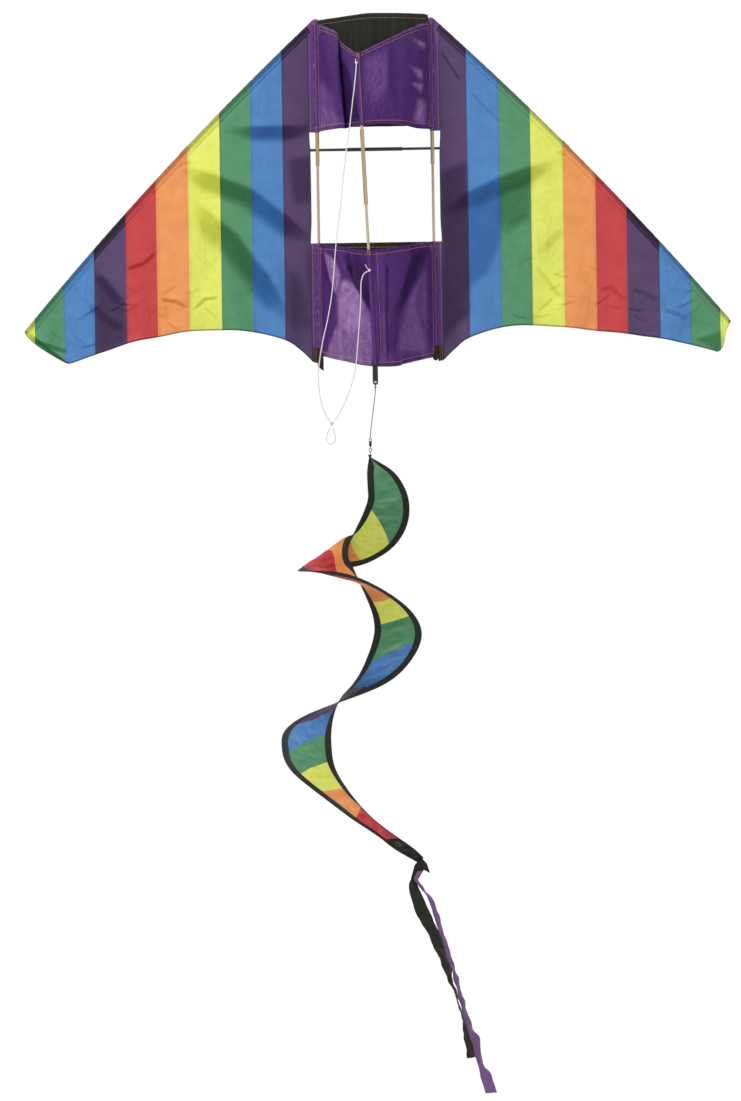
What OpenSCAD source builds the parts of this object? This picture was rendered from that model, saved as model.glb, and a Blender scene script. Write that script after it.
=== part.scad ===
// Delta kite with a triangular box body, two striped wings, a spreader, a bridle and a spinning tail.
// Millimetres. X points right, Y points away from the viewer, Z points up.
// The nose line is z = 0, and the two side longerons stand in the plane y = 0.

/* [Box body] */
// Distance between the two side longerons
longeron_spacing = 276; // [270:1:282]
// Drop of the side longerons' lower ends below the nose line
longeron_drop = 824; // [822:1:826]
// Height of each of the two cloth cells
cell_height = 271; // [268:1:274]
// Drop of the lower cell's top edge below the nose line
lower_cell_drop = 541; // [538:1:544]
// Depth of the box from the side longerons to the keel
box_depth = 190; // [188:1:192]
// Thickness of the modelled cloth
cloth_t = 0.9; // [0.8:0.1:1]

/* [Keel] */
// Sideways place of the keel's top end
keel_top_x = -38; // [-40:1:-36]
// Sideways place of the keel's bottom end
keel_bottom_x = -8; // [-10:1:-6]
// Drop of the keel's top end below the nose line
keel_top_drop = 112; // [110:1:114]
// Drop of the keel's bottom end below the nose line
keel_bottom_drop = 843; // [841:1:845]

/* [Rods and ferrules] */
// Diameter of the wooden dowels
dowel_d = 6.4; // [6:0.1:6.6]
// Outer diameter of the tubes that join the dowels
ferrule_d = 9.4; // [9:0.1:9.6]
// Length of the tubes that join the dowels
ferrule_length = 175; // [165:1:180]
// Drop of the middle of the side longerons' ferrules
side_ferrule_drop = 267; // [262:1:270]
// Drop of the middle of the keel's ferrule
keel_ferrule_drop = 381; // [379:1:390]
// Diameter of the fibreglass leading edge spars
spar_d = 5.8; // [5.4:0.1:6]
// Diameter of the spreader rods
spreader_d = 6.6; // [6.2:0.1:6.8]
// Outer diameter of the spreader's centre ferrule
spreader_ferrule_d = 9; // [8.6:0.1:9.4]
// Length of the spreader's centre ferrule
spreader_ferrule_length = 132; // [120:1:140]
// Drop of the spreader below the nose line
spreader_drop = 316; // [312:1:320]
// Distance of the spreader behind the side longerons
spreader_set_back = 11; // [10.5:0.1:12]

/* [Wings] */
// Distance of a wing tip from the middle of the kite
tip_x = 847; // [840:1:852]
// Drop of a wing tip below the nose line
tip_drop = 740; // [735:1:745]
// Height of a leading edge's bow above the straight line from nose to tip
edge_bow = 16; // [14:0.5:18]
// Distance of a trailing edge's outer corner from the middle
corner_x = 780; // [776:1:784]
// Drop of a trailing edge's outer corner
corner_drop = 818; // [814:1:822]
// Distance of a trailing edge's highest point from the middle
hollow_x = 374; // [370:1:378]
// Drop of a trailing edge's highest point
hollow_drop = 746; // [742:1:750]
// Distance of a wing's cloth from the middle of the kite
root_x = 157; // [156:0.5:158]
// Drop of the wing cloth's foot beside the longeron
root_drop = 826; // [822:1:828]
// Width of the sleeve along the leading edge
edge_sleeve_w = 19; // [18:1:20]
// Distance of the first stripe seam from the middle
first_seam_x = 220; // [216:1:224]
// Width of a stripe
stripe_w = 76; // [75.5:0.1:76]

/* [Bridle and tail] */
// Diameter of the bridle line
bridle_d = 2.4; // [2:0.1:2.6]
// Diameter of the tail line
tail_line_d = 1.8; // [1.6:0.1:2]
// Sideways place of the tail swivel
swivel_x = -22; // [-23:0.5:-21]
// Drop of the top of the tail swivel
swivel_drop = 1024; // [1022:1:1026]
// Sideways place of the middle of the spinning tail
twister_x = -68; // [-70:1:-66]
// Width of the dark edging on the spinning tail
edging_w = 12.5; // [11:0.5:14]

/* [Hidden] */

$fn = 48;
LEFT = -1;
RIGHT = 1;

// Colours of the cloth, cord and rods
STRIPES = ["#5c4a74", "#5383bb", "#5a9069", "#dde46c", "#e6995f", "#c14a4d"];
PURPLE = "#4a2a68";
SLEEVE_PURPLE = "#64407c";
BLACK_CLOTH = "#2a2a28";
DOWEL = "#b9a98a";
FERRULE = "#a8926c";
BLACK_ROD = "#1d1d1f";
WHITE_LINE = "#eceae4";
STREAMER_PURPLE = "#6a4878";

// Half of the box, and the drops of its cells
half_box = longeron_spacing / 2;
upper_cell_top = 4;
lower_cell_bottom = lower_cell_drop + cell_height;
joint_gap = 1;
slip = 0.05;

// Longeron sleeves, their end pockets and the hems beside them
sleeve_bore_r = 5.2;
sleeve_r = 6.1;
pocket_r = 7.1;
pocket_bore_r = 6.3;
pocket_top = 792;
pocket_floor = 2;
hem_gap = 0.6;
hem_t = 1.2;

// Keel line: its length, its lean, and its place at a given drop
keel_run = [keel_bottom_x - keel_top_x, 0, keel_top_drop - keel_bottom_drop];
keel_length = norm(keel_run);
keel_lean = atan2(keel_top_x - keel_bottom_x, keel_bottom_drop - keel_top_drop);
keel_sleeve_r = 4.5;
keel_sleeve_bore_r = 3.5;
upper_cell_keel_drop = 284;
lower_cell_keel_drop = 576;
function keel_x(drop) =
    keel_top_x + (keel_bottom_x - keel_top_x) * (drop - keel_top_drop) / (keel_bottom_drop - keel_top_drop);
function along_keel(drop) = (drop - keel_top_drop) / cos(keel_lean);

// Leading edge: an arc from the nose to the tip, and the sleeve on it
nose_x = half_box + 3;
nose_drop = 1;
edge_run = [tip_x - nose_x, tip_drop - nose_drop];
edge_chord = norm(edge_run);
edge_dir = edge_run / edge_chord;
edge_r = edge_chord ^ 2 / (8 * edge_bow) + edge_bow / 2;
edge_centre = [nose_x, nose_drop] + edge_run / 2 + (edge_r - edge_bow) * [-edge_dir[1], edge_dir[0]];
nose_turn = atan2(edge_run[1], edge_run[0]) - asin(edge_chord / 2 / edge_r);
spar_inset = 5;
spar_bore_r = 3.3;
edge_tube_r = 4.8;
edge_flap_t = 1.6;
edge_start = 28;
edge_end = 1014;
spar_start = 32;
spar_end = 1018;
cap_length = 10;
cap_r = 4;
window_length = 46;
window_cut = 0.2;

// Slope of the leading edge at a along it
function edge_turn(a) = nose_turn + a / edge_r * 180 / PI;
// Point of a wing, as distance from the middle and drop, at a along and b inwards from the leading edge
function edge_point(a, b) = edge_centre + (edge_r - b) * [sin(edge_turn(a)), -cos(edge_turn(a))];
// Place along the leading edge where the spreader crosses the spar
crossing = (acos((edge_centre[1] - spreader_drop) / (edge_r - spar_inset)) - nose_turn) * edge_r * PI / 180;
crossing_x = edge_point(crossing, spar_inset)[0];

// Wing cloth: its outer end, its edges, and its folds
sail_end_x = tip_x - 9;
function sail_top(x) = edge_centre[1] - sqrt((edge_r - edge_sleeve_w) ^ 2 - (x - edge_centre[0]) ^ 2);
sail_end_drop = sail_top(sail_end_x) + 2;
root_power = 3;
outer_power = 1.15;
corner_power = 2.8;
// Share of the way that x has gone from one place to another
function way(x, from, to) = (x - from) / (to - from);
function sail_bottom(x) =
    x < hollow_x
        ? hollow_drop + (root_drop - hollow_drop) * way(x, hollow_x, root_x) ^ root_power
    : x < corner_x
        ? hollow_drop + (corner_drop - hollow_drop) * way(x, hollow_x, corner_x) ^ outer_power
    : corner_drop - (corner_drop - sail_end_drop) * way(x, corner_x, sail_end_x) ^ corner_power;

// Ease from 0 to 1 as v goes from 0 to 1
function ease(v) = let (c = min(max(v, 0), 1)) c * c * (3 - 2 * c);
flute_pitch = 118;
flute_depth = 7;
flute_reach = 260;
fold_depth = 9;
fold_half_w = 24;
fold_from = [455, 352];
fold_to = [root_x, 548];
fold_run = fold_to - fold_from;
fold_length = norm(fold_run);
// Forward lift of the wing cloth at distance x and drop d: flutes at the trailing edge and one long fold
function sail_lift(x, d) =
    let (from_edge = sail_bottom(x) - d,
         from_sleeve = (d - sail_top(x)) * edge_dir[0],
         hold = ease(from_sleeve / 70) * ease((x - root_x) / 60),
         flute = flute_depth * ease(1 - from_edge / flute_reach) * sin(360 * x / flute_pitch + d * 0.4),
         along = ([x, d] - fold_from) * fold_run / fold_length,
         aside = cross([x, d] - fold_from, fold_run) / fold_length,
         share = along / fold_length,
         fade = ease(share * 4) * ease((1 - share) * 4 + 0.3),
         crease = fold_depth * exp(-(aside / fold_half_w) ^ 2) * fade)
    hold * (flute - crease);

// Columns of the wing cloth: three to a stripe, and the tip's own
columns_per_stripe = 3;
stripe_count = 10;
tip_columns = 2;
sail_rows = 11;
seams = [for (k = [0 : stripe_count - 2]) first_seam_x + k * stripe_w];
stripe_from = concat([root_x], seams);
sail_columns = concat(
    [for (k = [0 : stripe_count - 2])
        for (c = [0 : columns_per_stripe - 1])
            stripe_from[k] + (seams[k] - stripe_from[k]) * c / columns_per_stripe],
    [for (c = [0 : tip_columns])
        seams[stripe_count - 2] + (sail_end_x - seams[stripe_count - 2]) * c / tip_columns]);
window_bow = 3;
// Sideways hollow of the wing's inner edge where it passes the open window of the box
function root_bow(x, d) =
    x > root_x ? 0
    : window_bow * ease((d - cell_height) / 60) * ease((lower_cell_drop - d) / 60);
sail_grid = [for (r = [0 : sail_rows])
    [for (x = sail_columns)
        let (d = sail_top(x) + (sail_bottom(x) - sail_top(x)) * r / sail_rows)
        [x + root_bow(x, d), sail_lift(x, d), -d]]];

// Front panels, each as a top and a bottom edge from its side longeron to the keel, in x, y and z
// A panel starts in the wall of the longeron sleeve and ends just short of the keel sleeve
panel_start = [half_box - 2.9, -5];
keel_reach = [4.9, 2.2];
function keel_end(side, drop) = [keel_x(drop) + side * keel_reach[0], keel_reach[1] - box_depth, -drop];
function side_end(side, drop) = [side * panel_start[0], panel_start[1], -drop];
UPPER_LEFT_TOP = [side_end(LEFT, 14), [-114, -66, -32], [-94, -112, -47], [-88, -123, -53],
    [-85, -113, -58], [-90, -97, -64], [-82, -103, -72], [-62, -142, -92], keel_end(LEFT, 113)];
UPPER_LEFT_BOTTOM = [side_end(LEFT, 274), [-106, -74, -278], [-80, -129, -282], [-73, -140, -284],
    [-69.5, -130, -283], [-76, -113, -282], [-68, -119, -282], [-51, -158, -282], keel_end(LEFT, 283)];
UPPER_RIGHT_TOP = [side_end(RIGHT, 14), [99, -68, -34], [58, -124, -60], [10, -160, -88],
    keel_end(RIGHT, 113)];
UPPER_RIGHT_BOTTOM = [side_end(RIGHT, 272), [98, -62, -276], [66, -116, -275], [14, -160, -278],
    keel_end(RIGHT, 283)];
LOWER_LEFT_TOP = [side_end(LEFT, 545), [-116, -74, -552], [-84, -142, -562], [-58, -142, -568],
    keel_end(LEFT, 577)];
LOWER_LEFT_BOTTOM = [side_end(LEFT, 809), [-108, -82, -821], [-70, -140, -833], [-40, -170, -841],
    keel_end(LEFT, 843)];
LOWER_RIGHT_TOP = [side_end(RIGHT, 541), [105, -70, -550], [70, -114, -560], [42, -142, -566],
    [20, -164, -571], keel_end(RIGHT, 577)];
LOWER_RIGHT_BOTTOM = [side_end(RIGHT, 812), [102, -80, -827], [58, -124, -838], [50, -146, -843],
    [22, -172, -846], keel_end(RIGHT, 843)];
panel_columns = 16;
panel_rows = 8;
panel_belly = 5;

// Bridle routes, as x, y and z of points along each line
bridle_y = -box_depth - 9;
UPPER_LEG = [
    [-41, bridle_y, -140], [-42, bridle_y, -156], [-46, bridle_y, -190], [-52, bridle_y, -235],
    [-60, bridle_y, -295], [-68, bridle_y, -345], [-75, bridle_y, -400], [-82, bridle_y, -460],
    [-89, bridle_y, -515], [-96, bridle_y, -570], [-101, bridle_y, -625], [-107, bridle_y, -680],
    [-117, bridle_y, -735], [-129, bridle_y, -785], [-137, bridle_y, -828], [-141, bridle_y, -868],
    [-140, bridle_y, -905], [-134, bridle_y, -938], [-125, bridle_y, -962], [-116, bridle_y, -976]];
LOWER_LEG = [
    [-18, bridle_y, -626], [-27, bridle_y, -629], [-34, bridle_y, -638], [-38, bridle_y, -655],
    [-39, bridle_y, -686], [-41, bridle_y, -719], [-44, bridle_y, -752], [-47, bridle_y, -786],
    [-50, bridle_y, -820], [-53, bridle_y, -846], [-59, bridle_y, -874], [-67, bridle_y, -900],
    [-78, bridle_y, -928], [-90, bridle_y, -952], [-98, bridle_y, -966], [-106, bridle_y, -976]];
TOW_LOOP = [
    [-112, bridle_y, -983], [-116, bridle_y, -992], [-121, bridle_y, -1002], [-124, bridle_y, -1013],
    [-123, bridle_y, -1023], [-117, bridle_y, -1029], [-110, bridle_y, -1029], [-105, bridle_y, -1023],
    [-104, bridle_y, -1013], [-106, bridle_y, -1002], [-109, bridle_y, -991]];
tow_knot = [-111, bridle_y, -981];
tow_knot_r = 4.2;
bridle_knot_r = 2.9;
upper_leg_rings = 24;
lower_leg_rings = 18;
loop_rings = 18;

// Tail tab on the keel, its eye, and the line that hangs from it
tab_w = 13;
tab_t = 2;
tab_top = keel_bottom_drop - 20;
tab_eye = [keel_x(keel_bottom_drop), -box_depth, -886];
tab_eye_r = 2.4;
hitch_r = 5.2;
hitch_wire_r = 0.9;
TAIL_ROUTE = [
    tab_eye + [0, 0, -2 * hitch_r],
    [-9, -box_depth, -910], [-11, -box_depth, -928], [-14, -box_depth, -950],
    [-17, -box_depth, -972], [-20, -box_depth, -994], [swivel_x, -box_depth, 9 - swivel_drop],
    [swivel_x, -box_depth, 6.6 - swivel_drop]];
tail_rings = 13;
top_cord_rings = 6;

// Spinning tail: turn angle, place of its middle, then radius and drop of the inner and of the outer edge
TURNS = [
    [-14, twister_x, 44, 1060, 48, 1062],
    [-8, twister_x, 38, 1095, 100, 1097],
    [0, twister_x, 38, 1130, 128, 1143],
    [12, twister_x, 39, 1160, 138, 1192],
    [35, twister_x, 30, 1198, 140, 1250],
    [60, twister_x, 20, 1228, 138, 1292],
    [90, twister_x, 14, 1250, 134, 1318],
    [135, twister_x, 11, 1266, 130, 1320],
    [180, twister_x, 10, 1278, 128, 1316],
    [225, twister_x, 14, 1296, 132, 1322],
    [270, twister_x + 1, 22, 1320, 140, 1338],
    [315, twister_x + 2, 38, 1384, 150, 1398],
    [360, twister_x + 2, 47, 1464, 157, 1480],
    [395, twister_x - 12, 47, 1542, 160, 1553],
    [425, twister_x - 24, 48, 1594, 155, 1602],
    [450, twister_x - 35, 40, 1630, 148, 1638],
    [495, twister_x - 38, 25, 1694, 146, 1682],
    [540, twister_x - 37, 19, 1742, 136, 1732],
    [585, twister_x - 30, 26, 1788, 140, 1806],
    [630, twister_x - 7, 44, 1854, 100, 1902],
    [675, twister_x + 28, 92, 1946, 66, 1966],
    [712, twister_x + 68, 88, 2001, 76, 2013]];
turn_rows = 63;
sail_strips = 4;
function turn_point(row, w) =
    let (r = row[2] + (row[4] - row[2]) * w,
         d = row[3] + (row[5] - row[3]) * w)
    [row[1] + r * cos(row[0]), r * sin(row[0]) - box_depth, -d];
function edging_share(row) = min(0.34, edging_w / norm(turn_point(row, 1) - turn_point(row, 0)));
turn_grid = [for (i = [0 : turn_rows])
    let (row = curve_at(TURNS, i * (len(TURNS) - 1) / turn_rows),
         e = edging_share(row))
    concat(
        [turn_point(row, 0)],
        [for (k = [0 : sail_strips]) turn_point(row, e + (1 - 2 * e) * k / sail_strips)],
        [turn_point(row, 1)])];

// Gathered end of the spinning tail, and the knot that the streamers hang from
tail_end = curve_at(TURNS, len(TURNS) - 1);
end_point = turn_point(tail_end, 0.5);
END_TAB = [[-8, -2], [2, 6], [14, -8], [21, -30], [6, -22], [-10, -34], [-20, -30], [-14, -12]];
end_tab_t = 7;
streamer_pivot = end_point + [-17.6, 0, -37.9];
streamer_knot_r = 6;

// Streamers: place of the middle line, its turn about the line, and half its width
BLACK_ROUTE = [
    [62, -204, -2047, 30, 4], [64, -206, -2062, 24, 11], [70, -212, -2084, 15, 16],
    [86, -214, -2128, 15, 19], [109, -219, -2178, 48, 19], [137, -225, -2247, 64, 20],
    [152, -227, -2298, 80, 19], [167, -227, -2350, 95, 18], [183, -224, -2420, 66, 17],
    [194, -220, -2467, 52, 16]];
PURPLE_ROUTE = [
    [65, -197.5, -2047, 70, 4], [74, -190, -2062, 66, 9], [91, -189, -2086, 62, 12],
    [117, -187, -2147, 58, 14], [134, -187, -2202, 64, 14], [160, -189, -2284, 70, 14],
    [176, -186, -2350, 68, 14], [190, -186, -2397, 62, 14], [203, -187, -2437, 38, 14],
    [212, -189, -2477, 60, 14], [227, -190, -2517, 26, 14], [238, -191, -2555, 20, 14]];
streamer_rows = 24;
function ribbon_grid(route) =
    [for (i = [0 : streamer_rows])
        let (p = curve_at(route, i * (len(route) - 1) / streamer_rows),
             reach = p[4] * [cos(p[3]), sin(p[3]), 0])
        [for (w = [-1 : 1]) [p[0], p[1], p[2]] + w * reach]];

// Unit vector along v
function unit(v) = v / norm(v);

// Point on a smooth curve through the list p, at s from 0 to the last index
function curve_at(p, s) =
    let (last = len(p) - 1,
         i = min(floor(s), last - 1),
         f = s - i,
         a = p[max(i - 1, 0)],
         b = p[i],
         c = p[i + 1],
         d = p[min(i + 2, last)])
    0.5 * (2 * b + (c - a) * f + (2 * a - 5 * b + 4 * c - d) * f ^ 2 + (3 * b - a - 3 * c + d) * f ^ 3);

// Normal of a grid of points at row i and column j
function grid_normal(g, i, j) =
    let (down = g[min(i + 1, len(g) - 1)][j] - g[max(i - 1, 0)][j],
         across = g[i][min(j + 1, len(g[0]) - 1)] - g[i][max(j - 1, 0)])
    unit(cross(across, down));

// Closed sheet of cloth about columns first to last of a grid of points
module cloth(g, t, first, last) {
    rows = len(g);
    cols = last - first + 1;
    count = rows * cols;
    middle = [for (i = [0 : rows - 1]) for (j = [first : last]) g[i][j]];
    lift = [for (i = [0 : rows - 1]) for (j = [first : last]) grid_normal(g, i, j) * t / 2];
    function at(i, j) = i * cols + j;
    faces = concat(
        [for (i = [0 : rows - 2]) for (j = [0 : cols - 2]) for (f = [
            [at(i, j), at(i + 1, j), at(i + 1, j + 1)],
            [at(i, j), at(i + 1, j + 1), at(i, j + 1)],
            [at(i, j), at(i + 1, j + 1), at(i + 1, j)] + [count, count, count],
            [at(i, j), at(i, j + 1), at(i + 1, j + 1)] + [count, count, count]]) f],
        [for (i = [0 : rows - 2]) for (f = [
            [at(i + 1, 0), at(i, 0), at(i, 0) + count],
            [at(i + 1, 0), at(i, 0) + count, at(i + 1, 0) + count],
            [at(i, cols - 1), at(i + 1, cols - 1), at(i, cols - 1) + count],
            [at(i + 1, cols - 1), at(i + 1, cols - 1) + count, at(i, cols - 1) + count]]) f],
        [for (j = [0 : cols - 2]) for (f = [
            [at(0, j), at(0, j + 1), at(0, j) + count],
            [at(0, j + 1), at(0, j + 1) + count, at(0, j) + count],
            [at(rows - 1, j + 1), at(rows - 1, j), at(rows - 1, j) + count],
            [at(rows - 1, j + 1), at(rows - 1, j) + count, at(rows - 1, j + 1) + count]]) f]);
    polyhedron(points = concat(middle + lift, middle - lift), faces = faces, convexity = 8);
}

// Round cord of diameter d along a smooth curve through a route's points
module cord(route, d, rings, sides = 8) {
    stops = [for (k = [0 : rings - 1]) curve_at(route, k * (len(route) - 1) / (rings - 1))];
    points = [for (k = [0 : rings - 1])
        let (forward = unit(stops[min(k + 1, rings - 1)] - stops[max(k - 1, 0)]),
             aside = unit(cross(forward, [0, 1, 0])),
             up = cross(forward, aside))
        for (s = [0 : sides - 1])
            stops[k] + d / 2 * (cos(360 * s / sides) * aside + sin(360 * s / sides) * up)];
    end = (rings - 1) * sides;
    faces = concat(
        [for (k = [0 : rings - 2]) for (s = [0 : sides - 1])
            let (a = k * sides + s, b = k * sides + (s + 1) % sides)
            for (f = [[a, a + sides, b + sides], [a, b + sides, b]]) f],
        [for (s = [1 : sides - 2]) [0, s, s + 1]],
        [for (s = [1 : sides - 2]) [end, end + s + 1, end + s]]);
    polyhedron(points = points, faces = faces, convexity = 8);
}

// Upright tube or rod between two drops, about the local Z axis
module upright(r, from_drop, to_drop, bore_r = 0) {
    translate([0, 0, -to_drop])
        difference() {
            cylinder(r = r, h = to_drop - from_drop);
            if (bore_r > 0)
                translate([0, 0, -1])
                    cylinder(r = bore_r, h = to_drop - from_drop + 2);
        }
}

// Ring of wire about the local Z axis
module ring(r, wire_r) {
    rotate_extrude()
        translate([r, 0])
            circle(r = wire_r);
}

// Places its children on the axis of a side longeron
module at_longeron(side) {
    translate([side * half_box, 0, 0])
        children();
}

// Places its children on the keel, with drops counted along it from its top end
module at_keel() {
    translate([keel_top_x, -box_depth, -keel_top_drop])
        rotate([0, keel_lean, 0])
            children();
}

// Mirrors its children to the left wing
module on_side(side) {
    if (side == LEFT)
        mirror([1, 0, 0])
            children();
    else
        children();
}

// Places its children at a along a leading edge, with X along it, Y inwards and Z away from the viewer
module at_edge(a) {
    p = edge_point(a, 0);
    translate([p[0], 0, -p[1]])
        rotate([90, 0, 0])
            mirror([0, 0, 1])
                rotate([0, 0, -edge_turn(a)])
                    mirror([0, 1, 0])
                        children();
}

// Sweeps a section along a leading edge, with the section's X inwards and its Y away from the viewer
module along_edge(from, to) {
    translate([edge_centre[0], 0, -edge_centre[1]])
        rotate([90, 0, 0])
            mirror([0, 0, 1])
                rotate([0, 0, 90 - edge_turn(to)])
                    rotate_extrude(angle = edge_turn(to) - edge_turn(from), $fn = 960)
                        translate([edge_r, 0])
                            mirror([1, 0])
                                children();
}

module longeron_upper(side) {
    color(DOWEL)
        at_longeron(side)
            upright(dowel_d / 2, upper_cell_top + 3, side_ferrule_drop - joint_gap / 2);
}

module longeron_lower(side) {
    color(DOWEL)
        at_longeron(side)
            upright(dowel_d / 2, side_ferrule_drop + joint_gap / 2, longeron_drop);
}

module longeron_ferrule(side) {
    color(FERRULE)
        at_longeron(side)
            upright(ferrule_d / 2, side_ferrule_drop - ferrule_length / 2,
                side_ferrule_drop + ferrule_length / 2, dowel_d / 2 + slip);
}

module upper_sleeve(side) {
    color(SLEEVE_PURPLE)
        at_longeron(side)
            upright(sleeve_r, upper_cell_top, upper_cell_top + cell_height, sleeve_bore_r);
}

module lower_sleeve(side) {
    color(SLEEVE_PURPLE)
        at_longeron(side)
            upright(sleeve_r, lower_cell_drop, lower_cell_bottom, sleeve_bore_r);
}

// Black pocket that closes the lower end of a longeron sleeve
module end_pocket(side) {
    color(BLACK_CLOTH)
        at_longeron(side)
            translate([0, 0, -longeron_drop - 0.5 - pocket_floor])
                difference() {
                    cylinder(r = pocket_r, h = longeron_drop + 0.5 + pocket_floor - pocket_top);
                    translate([0, 0, pocket_floor])
                        cylinder(r = pocket_bore_r, h = longeron_drop);
                }
}

module back_panel(outline) {
    color(BLACK_CLOTH)
        translate([0, cloth_t / 2, 0])
            rotate([90, 0, 0])
                linear_extrude(cloth_t)
                    polygon(outline);
}

// The back panels reach half way into the walls of the longeron sleeves
back_half = half_box - (sleeve_r + sleeve_bore_r) / 2;
// The upper one stops short of the cell's foot
back_short = 12;

module upper_back_panel() {
    bottom = back_short - upper_cell_top - cell_height;
    back_panel([[-back_half, bottom], [-back_half, -6], [-60, 4], [-12, 10], [60, 9], [122, 5],
        [back_half, -4], [back_half, bottom]]);
}

module lower_back_panel() {
    back_panel([[-back_half, -lower_cell_bottom], [-back_half, -lower_cell_drop],
        [back_half, -lower_cell_drop], [back_half, -lower_cell_bottom]]);
}

// Front panel between its top and bottom edges, with a slight belly half way down
module front_panel(top, bottom) {
    grid = [for (i = [0 : panel_rows])
        let (f = i / panel_rows,
             belly = panel_belly * sin(180 * f))
        [for (j = [0 : panel_columns])
            let (s = j / panel_columns * (len(top) - 1),
                 out = sin(180 * j / panel_columns))
            (1 - f) * curve_at(top, s) + f * curve_at(bottom, s) + [0, -belly * out, 0]]];
    color(PURPLE)
        cloth(grid, cloth_t, 0, panel_columns);
}

module keel_upper_rod() {
    color(DOWEL)
        at_keel()
            upright(dowel_d / 2, 2, along_keel(keel_ferrule_drop) - joint_gap / 2);
}

module keel_lower_rod() {
    color(DOWEL)
        at_keel()
            upright(dowel_d / 2, along_keel(keel_ferrule_drop) + joint_gap / 2, keel_length - 24);
}

module keel_ferrule() {
    middle = along_keel(keel_ferrule_drop);
    color(FERRULE)
        at_keel()
            upright(ferrule_d / 2, middle - ferrule_length / 2, middle + ferrule_length / 2,
                dowel_d / 2 + slip);
}

module upper_keel_sleeve() {
    color(SLEEVE_PURPLE)
        at_keel()
            upright(keel_sleeve_r, 0, along_keel(upper_cell_keel_drop), keel_sleeve_bore_r);
}

module lower_keel_sleeve() {
    color(SLEEVE_PURPLE)
        at_keel()
            upright(keel_sleeve_r, along_keel(lower_cell_keel_drop), keel_length - 2, keel_sleeve_bore_r);
}

// Webbing tab below the keel, with a round end about its eye
module tail_tab() {
    color(BLACK_CLOTH)
        translate([tab_eye[0], -box_depth + tab_t / 2, 0])
            rotate([90, 0, 0])
                linear_extrude(tab_t)
                    difference() {
                        union() {
                            translate([-tab_w / 2, tab_eye[2]])
                                square([tab_w, -tab_top - tab_eye[2]]);
                            translate([0, tab_eye[2]])
                                circle(d = tab_w);
                        }
                        translate([0, tab_eye[2]])
                            circle(r = tab_eye_r);
                    }
}

// Striped wing: each stripe is a strip of the same sheet
module wing_sail(side) {
    on_side(side)
        for (k = [0 : stripe_count - 1])
            color(STRIPES[k % len(STRIPES)])
                cloth(sail_grid, cloth_t, k * columns_per_stripe,
                    k < stripe_count - 1 ? (k + 1) * columns_per_stripe : len(sail_columns) - 1);
}

// Section of the sleeve along the leading edge: a tube with a flap
module edge_section() {
    difference() {
        union() {
            translate([spar_inset, 0])
                circle(r = edge_tube_r, $fn = 48);
            translate([spar_inset, -edge_flap_t / 2])
                square([edge_sleeve_w - spar_inset, edge_flap_t]);
        }
        translate([spar_inset, 0])
            circle(r = spar_bore_r, $fn = 48);
    }
}

// Sleeve along the leading edge: its middle length is open at the back, where the spreader meets the spar
module leading_edge_sleeve(side) {
    window_start = crossing - window_length / 2;
    window_end = crossing + window_length / 2;
    color(STRIPES[0])
        on_side(side) {
            along_edge(edge_start, window_start - window_cut)
                edge_section();
            along_edge(window_start, window_end)
                difference() {
                    edge_section();
                    translate([-1, -0.6])
                        square([spar_inset + edge_tube_r + 2.4, edge_tube_r + 2]);
                }
            along_edge(window_end + window_cut, edge_end)
                edge_section();
        }
}

module leading_edge_spar(side) {
    color(BLACK_ROD)
        on_side(side)
            along_edge(spar_start, spar_end)
                translate([spar_inset, 0])
                    circle(d = spar_d, $fn = 48);
}

module spar_cap(side) {
    color(BLACK_ROD)
        on_side(side)
            at_edge(edge_end + 0.5)
                translate([0, spar_inset, 0])
                    rotate([0, 90, 0])
                        difference() {
                            cylinder(r = cap_r, h = cap_length);
                            translate([0, 0, -1])
                                cylinder(d = spar_d + 2 * slip, h = spar_end - edge_end + 1);
                        }
}

// Flat hem of a wing beside the longeron sleeve, in the plane of the wing
module root_hem(side, outline, shade) {
    color(shade)
        on_side(side)
            translate([0, hem_t / 2, 0])
                rotate([90, 0, 0])
                    linear_extrude(hem_t)
                        polygon([for (p = outline) [p[0], -p[1]]]);
}

hem_x = half_box + sleeve_r + hem_gap;
patch_x = half_box + pocket_r + hem_gap;

module upper_root_hem(side) {
    bottom = upper_cell_top + cell_height;
    root_hem(side, [[hem_x, nose_drop + 5], edge_point(6.5, 0), edge_point(edge_start, 0),
        edge_point(edge_start, edge_sleeve_w), [root_x, sail_top(root_x)], [root_x, bottom],
        [hem_x, bottom]], SLEEVE_PURPLE);
}

module lower_root_hem(side) {
    root_hem(side, [[hem_x, lower_cell_drop], [root_x, lower_cell_drop], [root_x, pocket_top],
        [hem_x, pocket_top]], SLEEVE_PURPLE);
}

module root_patch(side) {
    root_hem(side, [[patch_x, pocket_top], [root_x, pocket_top], [root_x, root_drop],
        [patch_x, root_drop + 2]], BLACK_CLOTH);
}

// Spreader: two rods that meet in a ferrule, with a clip at each end behind the leading edge spar
rod_gap = 13;
module spreader_rod(side) {
    color(BLACK_ROD)
        translate([side * joint_gap / 2, spreader_set_back, -spreader_drop])
            rotate([0, side * 90, 0])
                cylinder(d = spreader_d, h = crossing_x - rod_gap - joint_gap / 2);
}

module spreader_ferrule() {
    color(BLACK_ROD)
        translate([-spreader_ferrule_length / 2, spreader_set_back, -spreader_drop])
            rotate([0, 90, 0])
                difference() {
                    cylinder(d = spreader_ferrule_d, h = spreader_ferrule_length);
                    translate([0, 0, -1])
                        cylinder(d = spreader_d + 2 * slip, h = spreader_ferrule_length + 2);
                }
}

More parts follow.
